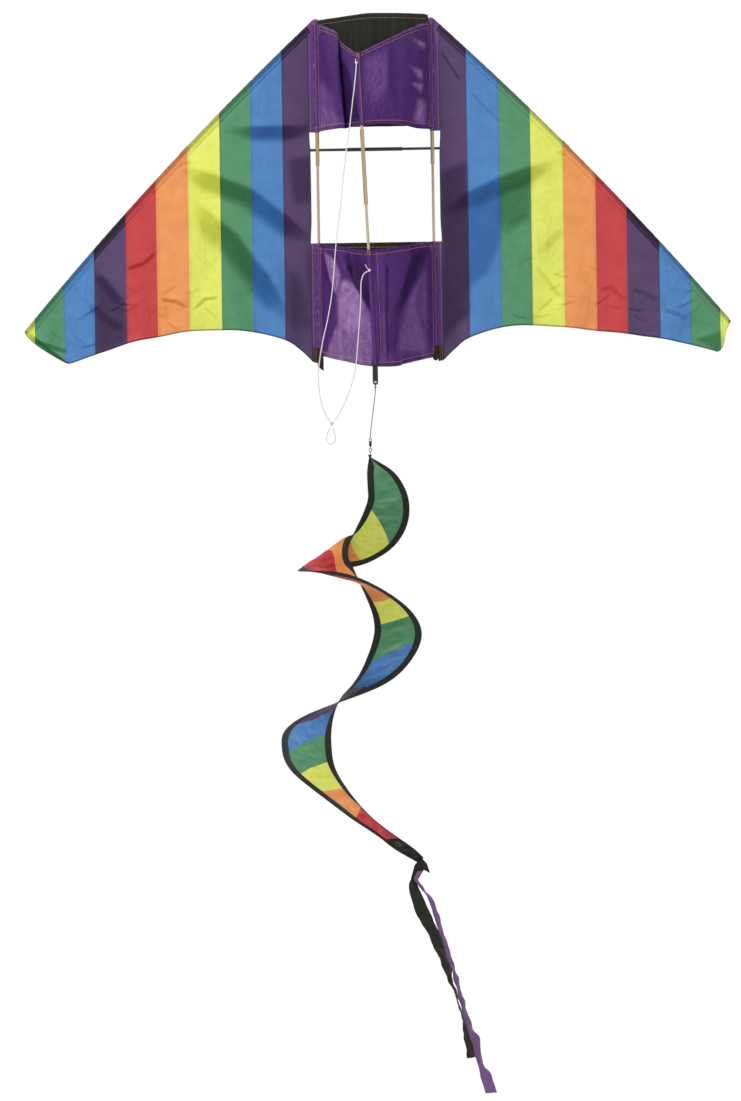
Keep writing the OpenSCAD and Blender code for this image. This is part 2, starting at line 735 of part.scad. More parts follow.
clip_length = 24;
clip_r = 5.4;
clip_bore_r = 3.3;
socket_r = 5;
socket_length = 32;
module spreader_clip(side) {
    color(BLACK_ROD)
        on_side(side)
            difference() {
                union() {
                    at_edge(crossing)
                        translate([-clip_length / 2, spar_inset, 0])
                            rotate([0, 90, 0])
                                cylinder(r = clip_r, h = clip_length);
                    translate([crossing_x, 0, -spreader_drop])
                        rotate([-90, 0, 0])
                            cylinder(r = socket_r - 0.4, h = spreader_set_back);
                    translate([crossing_x + 1 - socket_length, spreader_set_back, -spreader_drop])
                        rotate([0, 90, 0])
                            cylinder(r = socket_r, h = socket_length);
                }
                at_edge(crossing)
                    translate([-clip_length, spar_inset, 0])
                        rotate([0, 90, 0])
                            cylinder(r = clip_bore_r, h = 2 * clip_length);
                translate([crossing_x - clip_length, -3 * clip_r, -spreader_drop - clip_length])
                    cube([2 * clip_length, 3 * clip_r, 2 * clip_length]);
                translate([crossing_x - rod_gap - socket_length, spreader_set_back, -spreader_drop])
                    rotate([0, 90, 0])
                        cylinder(d = spreader_d + 2 * slip, h = socket_length + slip);
            }
}

module upper_bridle_leg() {
    color(WHITE_LINE)
        cord(UPPER_LEG, bridle_d, upper_leg_rings);
}

module lower_bridle_leg() {
    color(WHITE_LINE)
        cord(LOWER_LEG, bridle_d, lower_leg_rings);
}

module tow_loop() {
    color(WHITE_LINE) {
        cord(TOW_LOOP, bridle_d, loop_rings);
        translate(tow_knot)
            sphere(r = tow_knot_r);
    }
}

// The two knots that hold the bridle's legs just in front of the keel
module bridle_knots() {
    color(WHITE_LINE)
        for (leg = [UPPER_LEG, LOWER_LEG])
            translate(leg[0] + [0, 0, 2])
                sphere(r = bridle_knot_r);
}

// Loop of cord through the tab's eye
module tail_hitch() {
    color(BLACK_CLOTH)
        translate(tab_eye + [0, 0, -hitch_r])
            rotate([0, 90, 0])
                ring(hitch_r, hitch_wire_r);
}

module tail_line() {
    color(BLACK_CLOTH)
        cord(TAIL_ROUTE, tail_line_d, tail_rings);
}

// Swivel: a hollow barrel on the line, and a headed stem that turns in it
barrel_r = 3.2;
barrel_h = 12;
cavity_r = 2.3;
stem_r = 1.1;
stem_slip = 0.06;
swivel_eye_r = 3.2;
swivel_wire_r = 0.8;
module swivel_barrel() {
    color(BLACK_ROD)
        translate([swivel_x, -box_depth, -swivel_drop]) {
            rotate_extrude()
                polygon([[0, 0], [barrel_r - 0.8, 0], [barrel_r, -1], [barrel_r, 1 - barrel_h],
                    [barrel_r - 0.8, -barrel_h], [stem_r + stem_slip, -barrel_h], [stem_r + stem_slip, -8],
                    [cavity_r, -7.4], [cavity_r, -3], [0, -2]]);
            translate([0, 0, swivel_eye_r - 0.4])
                rotate([90, 0, 0])
                    ring(swivel_eye_r, swivel_wire_r);
        }
}

module swivel_stem() {
    color(BLACK_ROD)
        translate([swivel_x, -box_depth, -swivel_drop]) {
            rotate_extrude()
                polygon([[0, -4], [1.9, -4], [1.9, -6], [stem_r, -6.8], [stem_r, -barrel_h - 5],
                    [0, -barrel_h - 5]]);
            translate([0, 0, -barrel_h - 5 - swivel_eye_r])
                rotate([90, 0, 0])
                    ring(swivel_eye_r, swivel_wire_r);
        }
}

// Knotted cord between the swivel's eye and the tip of the spinning tail
top_knot_r = 4;
module twister_top_knot() {
    lower_eye = [swivel_x, -box_depth, -swivel_drop - barrel_h - 5 - 2 * swivel_eye_r];
    tip = turn_point(TURNS[0], 0.5);
    color(BLACK_CLOTH) {
        cord([lower_eye, lower_eye * 0.6 + tip * 0.4, tip], tail_line_d, top_cord_rings);
        translate(tip + [0, 0, 2])
            sphere(r = top_knot_r);
    }
}

module twister_sail() {
    color(STRIPES[2])
        cloth(turn_grid, cloth_t, 1, sail_strips + 1);
}

module twister_inner_edging() {
    color(BLACK_CLOTH)
        cloth(turn_grid, cloth_t, 0, 1);
}

module twister_outer_edging() {
    color(BLACK_CLOTH)
        cloth(turn_grid, cloth_t, sail_strips + 1, sail_strips + 2);
}

// Gathered black cloth that ends the spinning tail
module twister_end_tab() {
    color(BLACK_CLOTH)
        translate([end_point[0], end_point[1] + end_tab_t / 2, end_point[2]])
            rotate([90, 0, 0])
                linear_extrude(end_tab_t)
                    polygon(END_TAB);
}

module streamer_knot() {
    color(BLACK_CLOTH)
        translate(streamer_pivot)
            sphere(r = streamer_knot_r);
}

module black_streamer() {
    color(BLACK_CLOTH)
        cloth(ribbon_grid(BLACK_ROUTE), cloth_t, 0, 2);
}

module purple_streamer() {
    color(STREAMER_PURPLE)
        cloth(ribbon_grid(PURPLE_ROUTE), cloth_t, 0, 2);
}

longeron_upper(LEFT);  // left_upper_longeron
longeron_lower(LEFT);  // left_lower_longeron
longeron_ferrule(LEFT);  // left_longeron_ferrule
longeron_upper(RIGHT);  // right_upper_longeron
longeron_lower(RIGHT);  // right_lower_longeron
longeron_ferrule(RIGHT);  // right_longeron_ferrule
upper_back_panel();
lower_back_panel();
upper_sleeve(LEFT);  // left_upper_sleeve
lower_sleeve(LEFT);  // left_lower_sleeve
upper_sleeve(RIGHT);  // right_upper_sleeve
lower_sleeve(RIGHT);  // right_lower_sleeve
end_pocket(LEFT);  // left_end_pocket
end_pocket(RIGHT);  // right_end_pocket
front_panel(UPPER_LEFT_TOP, UPPER_LEFT_BOTTOM);  // upper_left_panel
front_panel(UPPER_RIGHT_TOP, UPPER_RIGHT_BOTTOM);  // upper_right_panel
front_panel(LOWER_LEFT_TOP, LOWER_LEFT_BOTTOM);  // lower_left_panel
front_panel(LOWER_RIGHT_TOP, LOWER_RIGHT_BOTTOM);  // lower_right_panel
keel_upper_rod();
keel_lower_rod();
keel_ferrule();
upper_keel_sleeve();
lower_keel_sleeve();
tail_tab();
wing_sail(LEFT);  // left_wing_sail
leading_edge_sleeve(LEFT);  // left_leading_edge_sleeve
leading_edge_spar(LEFT);  // left_leading_edge_spar
spar_cap(LEFT);  // left_spar_cap
upper_root_hem(LEFT);  // left_upper_root_hem
lower_root_hem(LEFT);  // left_lower_root_hem
root_patch(LEFT);  // left_root_patch
wing_sail(RIGHT);  // right_wing_sail
leading_edge_sleeve(RIGHT);  // right_leading_edge_sleeve
leading_edge_spar(RIGHT);  // right_leading_edge_spar
spar_cap(RIGHT);  // right_spar_cap
upper_root_hem(RIGHT);  // right_upper_root_hem
lower_root_hem(RIGHT);  // right_lower_root_hem
root_patch(RIGHT);  // right_root_patch
spreader_rod(LEFT);  // left_spreader_rod
spreader_rod(RIGHT);  // right_spreader_rod
spreader_ferrule();
spreader_clip(LEFT);  // left_spreader_clip
spreader_clip(RIGHT);  // right_spreader_clip
upper_bridle_leg();
lower_bridle_leg();
tow_loop();
bridle_knots();
tail_hitch();
tail_line();
swivel_barrel();
swivel_stem();
twister_top_knot();
twister_sail();
twister_inner_edging();
twister_outer_edging();
twister_end_tab();
streamer_knot();
black_streamer();
purple_streamer();
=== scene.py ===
"""Delta kite with a triangular box body: cloth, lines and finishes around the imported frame.

Sizes are in millimetres until a mesh is made, and x is to the right, y away from the viewer and z up.
"""

import logging
import math
from dataclasses import dataclass, field
from enum import Enum

import bmesh
import bpy
import numpy as np
from mathutils import Euler, Matrix, Vector


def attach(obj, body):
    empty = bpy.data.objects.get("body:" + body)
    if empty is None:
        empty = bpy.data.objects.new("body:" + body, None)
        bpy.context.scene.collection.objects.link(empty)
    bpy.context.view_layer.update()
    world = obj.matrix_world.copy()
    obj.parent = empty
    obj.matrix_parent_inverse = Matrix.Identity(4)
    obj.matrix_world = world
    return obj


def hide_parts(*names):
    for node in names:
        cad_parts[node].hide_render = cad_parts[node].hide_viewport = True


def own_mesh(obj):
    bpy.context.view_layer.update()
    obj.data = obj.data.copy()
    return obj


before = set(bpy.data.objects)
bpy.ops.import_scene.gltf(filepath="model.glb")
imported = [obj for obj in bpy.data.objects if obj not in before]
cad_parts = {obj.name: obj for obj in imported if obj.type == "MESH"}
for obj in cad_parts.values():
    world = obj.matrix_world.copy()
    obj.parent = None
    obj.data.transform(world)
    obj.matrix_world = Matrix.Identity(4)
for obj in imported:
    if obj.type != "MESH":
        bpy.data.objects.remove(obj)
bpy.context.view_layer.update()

Array = np.ndarray
Object = bpy.types.Object
Material = bpy.types.Material
Socket = bpy.types.NodeSocket
Node = bpy.types.Node
Tree = bpy.types.NodeTree
Inputs = dict[str | int, object] | list[object]
log = logging.getLogger("kite")

MM = 0.001

# Sizes of the frame that the cloth hangs on
HALF_BOX = 138.0
BOX_DEPTH = 190.0
KEEL_TOP = np.array([-38.0, -BOX_DEPTH, -112.0])
KEEL_FOOT = np.array([-8.0, -BOX_DEPTH, -843.0])
SLEEVE_R = 6.1
CELLS = {"upper": (4.0, 275.0), "lower": (541.0, 812.0)}
NOSE = np.array([141.0, 1.0])
TIP = np.array([847.0, 740.0])
EDGE_BOW = 16.0
EDGE_CHORD = float(np.linalg.norm(TIP - NOSE))
EDGE_DIR = (TIP - NOSE) / EDGE_CHORD
EDGE_R = EDGE_CHORD ** 2 / (8 * EDGE_BOW) + EDGE_BOW / 2
EDGE_CENTRE = (NOSE + TIP) / 2 + (EDGE_R - EDGE_BOW) * np.array([-EDGE_DIR[1], EDGE_DIR[0]])
NOSE_TURN = math.atan2(EDGE_DIR[1], EDGE_DIR[0]) - math.asin(EDGE_CHORD / 2 / EDGE_R)
EDGE_SLEEVE_W = 19.0
SPAR_INSET = 5.0
ROOT_X = 157.0
FIRST_SEAM = 220.0
STRIPE_W = 76.0
BRIDLE_Y = -199.0
SWIVEL = np.array([-22.0, -BOX_DEPTH, -1024.0])
KEEL_SLEEVES = {"upper": (112.2, 284.0), "lower": (576.0, 846.0)}
KEEL_DROPS = {"upper": (113, 283), "lower": (577, 849)}
TAIL_EYE = np.array([-8.0, -BOX_DEPTH, -886.0])
POCKET_TOP = 792.0
# Distance from a hem that stands for no hem at all
FAR = 1000.0


class Side(Enum):
    """Side of the kite, as the viewer sees it."""

    LEFT = -1
    RIGHT = 1

    @property
    def word(self) -> str:
        """Name of the side as it stands in the names of pieces."""
        return self.name.lower()


class Ends(Enum):
    """How a skin of rings is closed at its first and last ring."""

    ROUND = "one face over each end"
    SHEET = "front and back sewn together"
    LOOP = "last ring joined to the first"


def linear(code: str) -> tuple[float, float, float, float]:
    """Turns an sRGB hex code into a linear colour.

    Args:
        code: Colour as "#rrggbb".

    Returns:
        Red, green and blue from 0 to 1, and an alpha of 1.
    """
    parts = np.array([int(code[k:k + 2], 16) for k in (1, 3, 5)]) / 255
    low, high = parts / 12.92, ((parts + 0.055) / 1.055) ** 2.4
    return (*np.where(parts <= 0.04045, low, high).tolist(), 1.0)


def ease(value: Array) -> Array:
    """Smooth step from 0 to 1 as the value goes from 0 to 1."""
    held = np.clip(value, 0, 1)
    return held * held * (3 - 2 * held)


def around(count: int) -> Array:
    """Angles of a full turn in even steps."""
    return np.linspace(0, 2 * np.pi, count, endpoint=False)


def bell(value: Array, middle: float, width: float) -> Array:
    """Bell curve of the value: 1 at the middle, and 0.37 at one width from it."""
    return np.exp(-((value - middle) / width) ** 2)


def spread(*parts: Array | float) -> Array:
    """Coordinates of a grid: numbers, rows and columns brought to one shape and put side by side."""
    return np.stack(np.broadcast_arrays(*parts), -1)


def ripple(x: Array, y: Array, pitch: float, seed: int) -> Array:
    """Uneven wrinkles: the sum of six plane waves of about one pitch, in seeded directions and phases.

    Args:
        x: First place on the cloth.
        y: Second place on the cloth.
        pitch: Distance between wrinkles.
        seed: Number that fixes the directions and phases.

    Returns:
        Height from about -1 to 1.
    """
    draw = np.random.default_rng(seed)
    turn = draw.uniform(0, np.pi, 6)
    phase = draw.uniform(0, 2 * np.pi, 6)
    size = draw.uniform(0.7, 1.5, 6)
    along = x[..., None] * np.cos(turn) + y[..., None] * np.sin(turn)
    return np.sin(2 * np.pi * along / (pitch * size) + phase).sum(-1) / 3.5


def curve_through(points: Array, place: Array) -> Array:
    """Smooth curve through points, a Catmull-Rom spline.

    Args:
        points: Points or rows of numbers, one per step of place.
        place: Places along the curve, from 0 to the last index.

    Returns:
        One row of numbers for each place.
    """
    p = np.asarray(points, float)
    last = len(p) - 1
    i = np.clip(np.floor(place).astype(int), 0, last - 1)
    f = (np.asarray(place) - i)[..., None]
    a, b, c, d = p[np.maximum(i - 1, 0)], p[i], p[i + 1], p[np.minimum(i + 2, last)]
    square, cube = 2 * a - 5 * b + 4 * c - d, 3 * b - a - 3 * c + d
    return 0.5 * (2 * b + (c - a) * f + square * f ** 2 + cube * f ** 3)


def unit(vectors: Array) -> Array:
    """Vectors scaled to length 1 along the last axis."""
    return vectors / np.maximum(np.linalg.norm(vectors, axis=-1, keepdims=True), 1e-9)


def along_path(path: Array) -> Array:
    """Distance along a path up to each of its points."""
    return np.concatenate([[0.0], np.cumsum(np.linalg.norm(np.diff(path, axis=0), axis=1))])


def read_along(table: Array, gone: Array, place: Array) -> Array:
    """Rows of a table of numbers, at places between its own rows.

    Args:
        table: Rows of numbers.
        gone: Place of each row.
        place: Places to read.

    Returns:
        One row of numbers for each place.
    """
    return np.stack([np.interp(place, gone, column) for column in table.T], -1)


def even_path(path: Array, count: int) -> Array:
    """Points at equal distances along a path.

    Args:
        path: Points of the path.
        count: How many points to give back.

    Returns:
        The points.
    """
    gone = along_path(path)
    return read_along(path, gone, np.linspace(0, gone[-1], count))


def sheet_normals(grid: Array) -> Array:
    """Unit normals of a grid of points: the cross product of its steps across and down."""
    return unit(np.cross(np.gradient(grid, axis=1), np.gradient(grid, axis=0)))


def solid(name: str, points: Array, faces: list[list[int]]) -> Object:
    """Smooth mesh at the origin, with its place in its mesh.

    Args:
        name: Name of the piece.
        points: Corners in millimetres, in any layout that ends with x, y and z.
        faces: Corner numbers of each face.

    Returns:
        The piece.
    """
    mesh = bpy.data.meshes.new(name)
    mesh.from_pydata((points.reshape(-1, 3) * MM).tolist(), [], faces)
    mesh.polygons.foreach_set("use_smooth", np.ones(len(mesh.polygons), bool))
    mesh.update()
    piece = bpy.data.objects.new(name, mesh)
    bpy.context.scene.collection.objects.link(piece)
    return piece


def skin(name: str, rings: Array, cloth: Array, ends: Ends, hem: Array | None = None) -> Object:
    """Closed skin over rings of points.

    Args:
        name: Name of the piece.
        rings: Points in millimetres, as rings by points of a ring by 3.
        cloth: Place on the cloth in millimetres, with one column more than a ring has points.
        ends: How the first and last ring are closed.
        hem: Distance from the nearest hem and tone, laid out as cloth is, or None for an even piece.

    Returns:
        The piece.
    """
    count, size = rings.shape[:2]
    wide = cloth.shape[1]
    i, j = np.meshgrid(np.arange(count - (ends is not Ends.LOOP)), np.arange(size), indexing="ij")
    here, below, across = i * size, (i + 1) % count * size, (j + 1) % size
    quads = np.stack([here + j, here + across, below + across, below + j], -1)
    spot = i * wide + j
    faces = quads.reshape(-1, 4).tolist()
    places = [np.stack([spot, spot + 1, spot + wide + 1, spot + wide], -1).ravel()]
    last_ring, last_row = (count - 1) * size, (count - 1) * wide
    if ends is Ends.SHEET:
        k = np.arange(size // 2 - 1)
        sewn = np.stack([k, size - 1 - k, size - 2 - k, k + 1], -1)
        flat = np.stack([k, k, k + 1, k + 1], -1)
        faces += sewn.tolist() + (sewn[:, ::-1] + last_ring).tolist()
        places += [flat.ravel(), (flat[:, ::-1] + last_row).ravel()]
    elif ends is Ends.ROUND:
        ring = np.arange(size)
        faces += [ring[::-1].tolist(), (ring + last_ring).tolist()]
        places += [ring[::-1], ring + last_row]
    piece = solid(name, rings, faces)
    mesh = piece.data
    hem = spread(np.full(cloth.shape[:2], FAR), 0.0) if hem is None else hem
    for layer, values in (("Cloth", cloth), ("Hem", hem)):
        corners = values.reshape(-1, 2)[np.concatenate(places)] * MM
        mesh.uv_layers.new(name=layer).data.foreach_set("uv", corners.astype(np.float32).ravel())
    shaped = bmesh.new()
    shaped.from_mesh(mesh)
    bmesh.ops.recalc_face_normals(shaped, faces=shaped.faces)
    shaped.to_mesh(mesh)
    shaped.free()
    mesh.update()
    return piece


def join(name: str, parts: list[Object]) -> Object:
    """Joins pieces into one, by putting their meshes into the first.

    Args:
        name: Name of the joined piece.
        parts: Pieces at the origin.

    Returns:
        The joined piece.
    """
    merged = bmesh.new()
    for part in parts:
        merged.from_mesh(part.data)
    merged.to_mesh(parts[0].data)
    merged.free()
    for part in parts[1:]:
        bpy.data.objects.remove(part)
    parts[0].name = name
    parts[0].data.name = name
    return parts[0]


def tube(name: str, path: Array, radius: float, sides: int = 12, ends: Ends = Ends.ROUND) -> Object:
    """Round tube along a path, turned as little as the path allows.

    Args:
        name: Name of the piece.
        path: Points of the middle line in millimetres.
        radius: Radius.
        sides: Points of a ring.
        ends: ROUND for an open path, LOOP for a closed one.

    Returns:
        The piece.
    """
    looped = ends is Ends.LOOP
    ahead = unit(np.roll(path, -1, 0) - np.roll(path, 1, 0) if looped else np.gradient(path, axis=0))
    # No line of the kite runs along this direction
    aside = unit(np.cross(ahead, [0.02, 1.0, 0.013]))
    angle = around(sides)[:, None]
    ring = np.cos(angle) * aside[:, None] + np.sin(angle) * np.cross(aside, ahead)[:, None]
    gone = along_path(np.concatenate([path, path[:1]]) if looped else path)
    cloth = spread(np.linspace(0, 2 * np.pi * radius, sides + 1)[None], gone[:, None])
    return skin(name, path[:, None] + radius * ring, cloth, ends)


@dataclass
class Sheet:
    """Sheet of cloth about a grid of points.

    Attributes:
        name: Name of the piece.
        grid: Points of the middle of the cloth, rows by columns by 3.
        cut: Place of each point on the flat cloth, rows by columns by 2.
        thickness: Thickness, the same all over or one for each point.
        hem: Distance of each point from the nearest hem.
        tone: Share by which each point is darker, below 0, or caught by the light, above 0.
    """

    name: str
    grid: Array
    cut: Array
    thickness: Array | float = 0.7
    hem: Array | float = FAR
    tone: Array | float = 0.0

    def build(self) -> Object:
        """Makes the closed sheet: the grid moved half a thickness to both sides, sewn at its edges."""
        normals = sheet_normals(self.grid)
        half = normals * (np.broadcast_to(self.thickness, normals.shape[:2])[..., None] / 2)
        # The painted shade and highlight of the folds are full on the side that faces the front, fainter on
        # the other
        full = np.where(normals[..., 1] < 0, 1.0, 0.4)
        front, back = (spread(self.hem, self.tone * share / MM) for share in (full, 1.4 - full))
        rings = np.concatenate([self.grid + half, (self.grid - half)[:, ::-1]], 1)
        cloth = np.concatenate([self.cut, self.cut[:, ::-1], self.cut[:, :1]], 1)
        hem = np.concatenate([front, back[:, ::-1], front[:, :1]], 1)
        return skin(self.name, rings, cloth, Ends.SHEET, hem)

    def flat(self) -> tuple[float, float]:
        """Width and length of the cloth it was cut from, in metres, measured along its rows and columns."""
        across, down = (np.linalg.norm(np.diff(self.grid, axis=k), axis=-1).sum(k).max() for k in (1, 0))
        return float(across) * MM, float(down) * MM

    def declare(self, piece: Object, held: str, rests_on: list[str], with_pieces: list[Object] = ()) -> None:
        """Takes the piece and how it hangs, and does nothing with them.

        Args:
            piece: The built sheet; not used.
            held: How it is held; not used.
            rests_on: Pieces or nodes that it hangs from; not used.
            with_pieces: Pieces that are sewn to it; not used.
        """

    def line(self, rows: Array | float, columns: Array | float, front: float = 1.0) -> tuple[Array, Array]:
        """Line over the sheet's surface, for a row of stitches.

        Args:
            rows: Places down the grid, as fractions from 0 to 1.
            columns: Places across the grid, as fractions from 0 to 1.
            front: 1 for the side that faces the viewer, -1 for the other.

        Returns:
            Points on the surface and the normals there.
        """
        count = self.grid.shape[:2]
        r, c = np.broadcast_arrays(rows * np.float64(count[0] - 1), columns * np.float64(count[1] - 1))
        i, j = np.minimum(r.astype(int), count[0] - 2), np.minimum(c.astype(int), count[1] - 2)
        fr, fc = (r - i)[..., None], (c - j)[..., None]

        def mixed(a: Array) -> Array:
            """Values between the four neighbours on the grid."""
            top = a[i, j] * (1 - fc) + a[i, j + 1] * fc
            return top * (1 - fr) + (a[i + 1, j] * (1 - fc) + a[i + 1, j + 1] * fc) * fr

        normal = unit(mixed(sheet_normals(self.grid)))
        normal = normal * -front * np.sign(normal[..., 1:2] + 1e-9)
        thick = mixed(np.broadcast_to(self.thickness, count)[..., None])
        return mixed(self.grid) + normal * thick / 2, normal


def stitches(name: str, lines: list[tuple[Array, Array]], pitch: float = 6.0, width: float = 1.1) -> Object:
    """Rows of thread stitches, each a short arched strand that dips into the cloth at both ends.

    Args:
        name: Name of the piece.
        lines: Points and normals along each row.
        pitch: Distance between stitches.
        width: Width of the thread, coarser than real thread so that the rows show.

    Returns:
        One piece with all the rows.
    """
    rows = [[], [], []]
    for path, normal in lines:
        gone = along_path(path)
        place = np.arange(pitch / 2, gone[-1] - pitch / 4, pitch)
        for row, table in zip(rows, (path, normal, np.gradient(path, axis=0))):
            row.append(read_along(table, gone, place))
    spot, up, head = (np.concatenate(row) for row in rows)
    up, head = unit(up), unit(head)
    aside = unit(np.cross(head, up))
    # Four rings of six points: both ends dip into the cloth, and the middle is arched
    step = np.array([-0.40, -0.28, 0.28, 0.40])[:, None] * pitch
    rise = np.array([-0.35, 0.22, 0.22, -0.35])[:, None] * width
    thick = np.array([0.30, 0.48, 0.48, 0.30])[:, None, None] * width
    angle = around(6)[:, None]
    middle = spot[:, None] + step * head[:, None] + rise * up[:, None]
    ring = np.cos(angle) * aside[:, None, None] + np.sin(angle) * up[:, None, None]
    k, s = np.meshgrid(np.arange(3) * 6, np.arange(6), indexing="ij")
    after = (s + 1) % 6
    quads = np.stack([k + s, k + after, k + 6 + after, k + 6 + s], -1).reshape(-1, 4)
    caps = np.stack([np.arange(6)[::-1], np.arange(18, 24)])
    first = np.arange(len(spot))[:, None, None] * 24
    faces = (quads + first).reshape(-1, 4).tolist() + (caps + first).reshape(-1, 6).tolist()
    return solid(name, middle[:, :, None] + thick * ring, faces)


def row_down(axis: Array, turn: float, radius: float) -> tuple[Array, Array]:
    """Straight row for stitches down a tube.

    Args:
        axis: Points of the tube's axis.
        turn: Turn of the row about the axis, from the front towards the right.
        radius: Distance from the axis.

    Returns:
        Points and normals along the row.
    """
    aim = np.array([math.sin(turn), -math.cos(turn), 0.0])
    return axis + aim * radius, np.tile(aim, (len(axis), 1))


def fill(node: Node, inputs: Inputs) -> None:
    """Fills or links the sockets of a node.

    Args:
        node: The node.
        inputs: Values of the first sockets in order, or of sockets by name or number. Sockets and
            nodes are linked, a node by its first output.
    """
    for key, value in inputs.items() if isinstance(inputs, dict) else enumerate(inputs):
        source = value.outputs[0] if isinstance(value, Node) else value
        if isinstance(source, Socket):
            node.id_data.links.new(source, node.inputs[key])
        else:
            node.inputs[key].default_value = source


def add(tree: Tree, kind: str, inputs: Inputs = (), **settings: object) -> Node:
    """Adds a node, sets its properties, and fills or links its sockets.

    Args:
        tree: Node tree of the material.
        kind: Node type, without the word that all shader nodes start with.
        inputs: What fills its sockets.
        **settings: Properties of the node.

    Returns:
        The node.
    """
    node = tree.nodes.new("ShaderNode" + kind)
    for key, value in settings.items():
        setattr(node, key, value)
    fill(node, inputs)
    return node


def start_material(name: str) -> tuple[Material, Tree, Node]:
    """Makes a material with one Principled shader.

    Args:
        name: Name of the real material.

    Returns:
        The material, its node tree and its shader.
    """
    material = bpy.data.materials.new(name)
    material.use_nodes = True
    tree = material.node_tree
    return material, tree, tree.nodes["Principled BSDF"]


class Stripes(Enum):
    """The six colours of the rainbow cloth, as the lit cloth shows them."""

    VIOLET = "#584669"
    BLUE = "#5283bc"
    GREEN = "#579069"
    YELLOW = "#dee468"
    ORANGE = "#e8985c"
    RED = "#c3474a"


RAINBOW = list(Stripes)


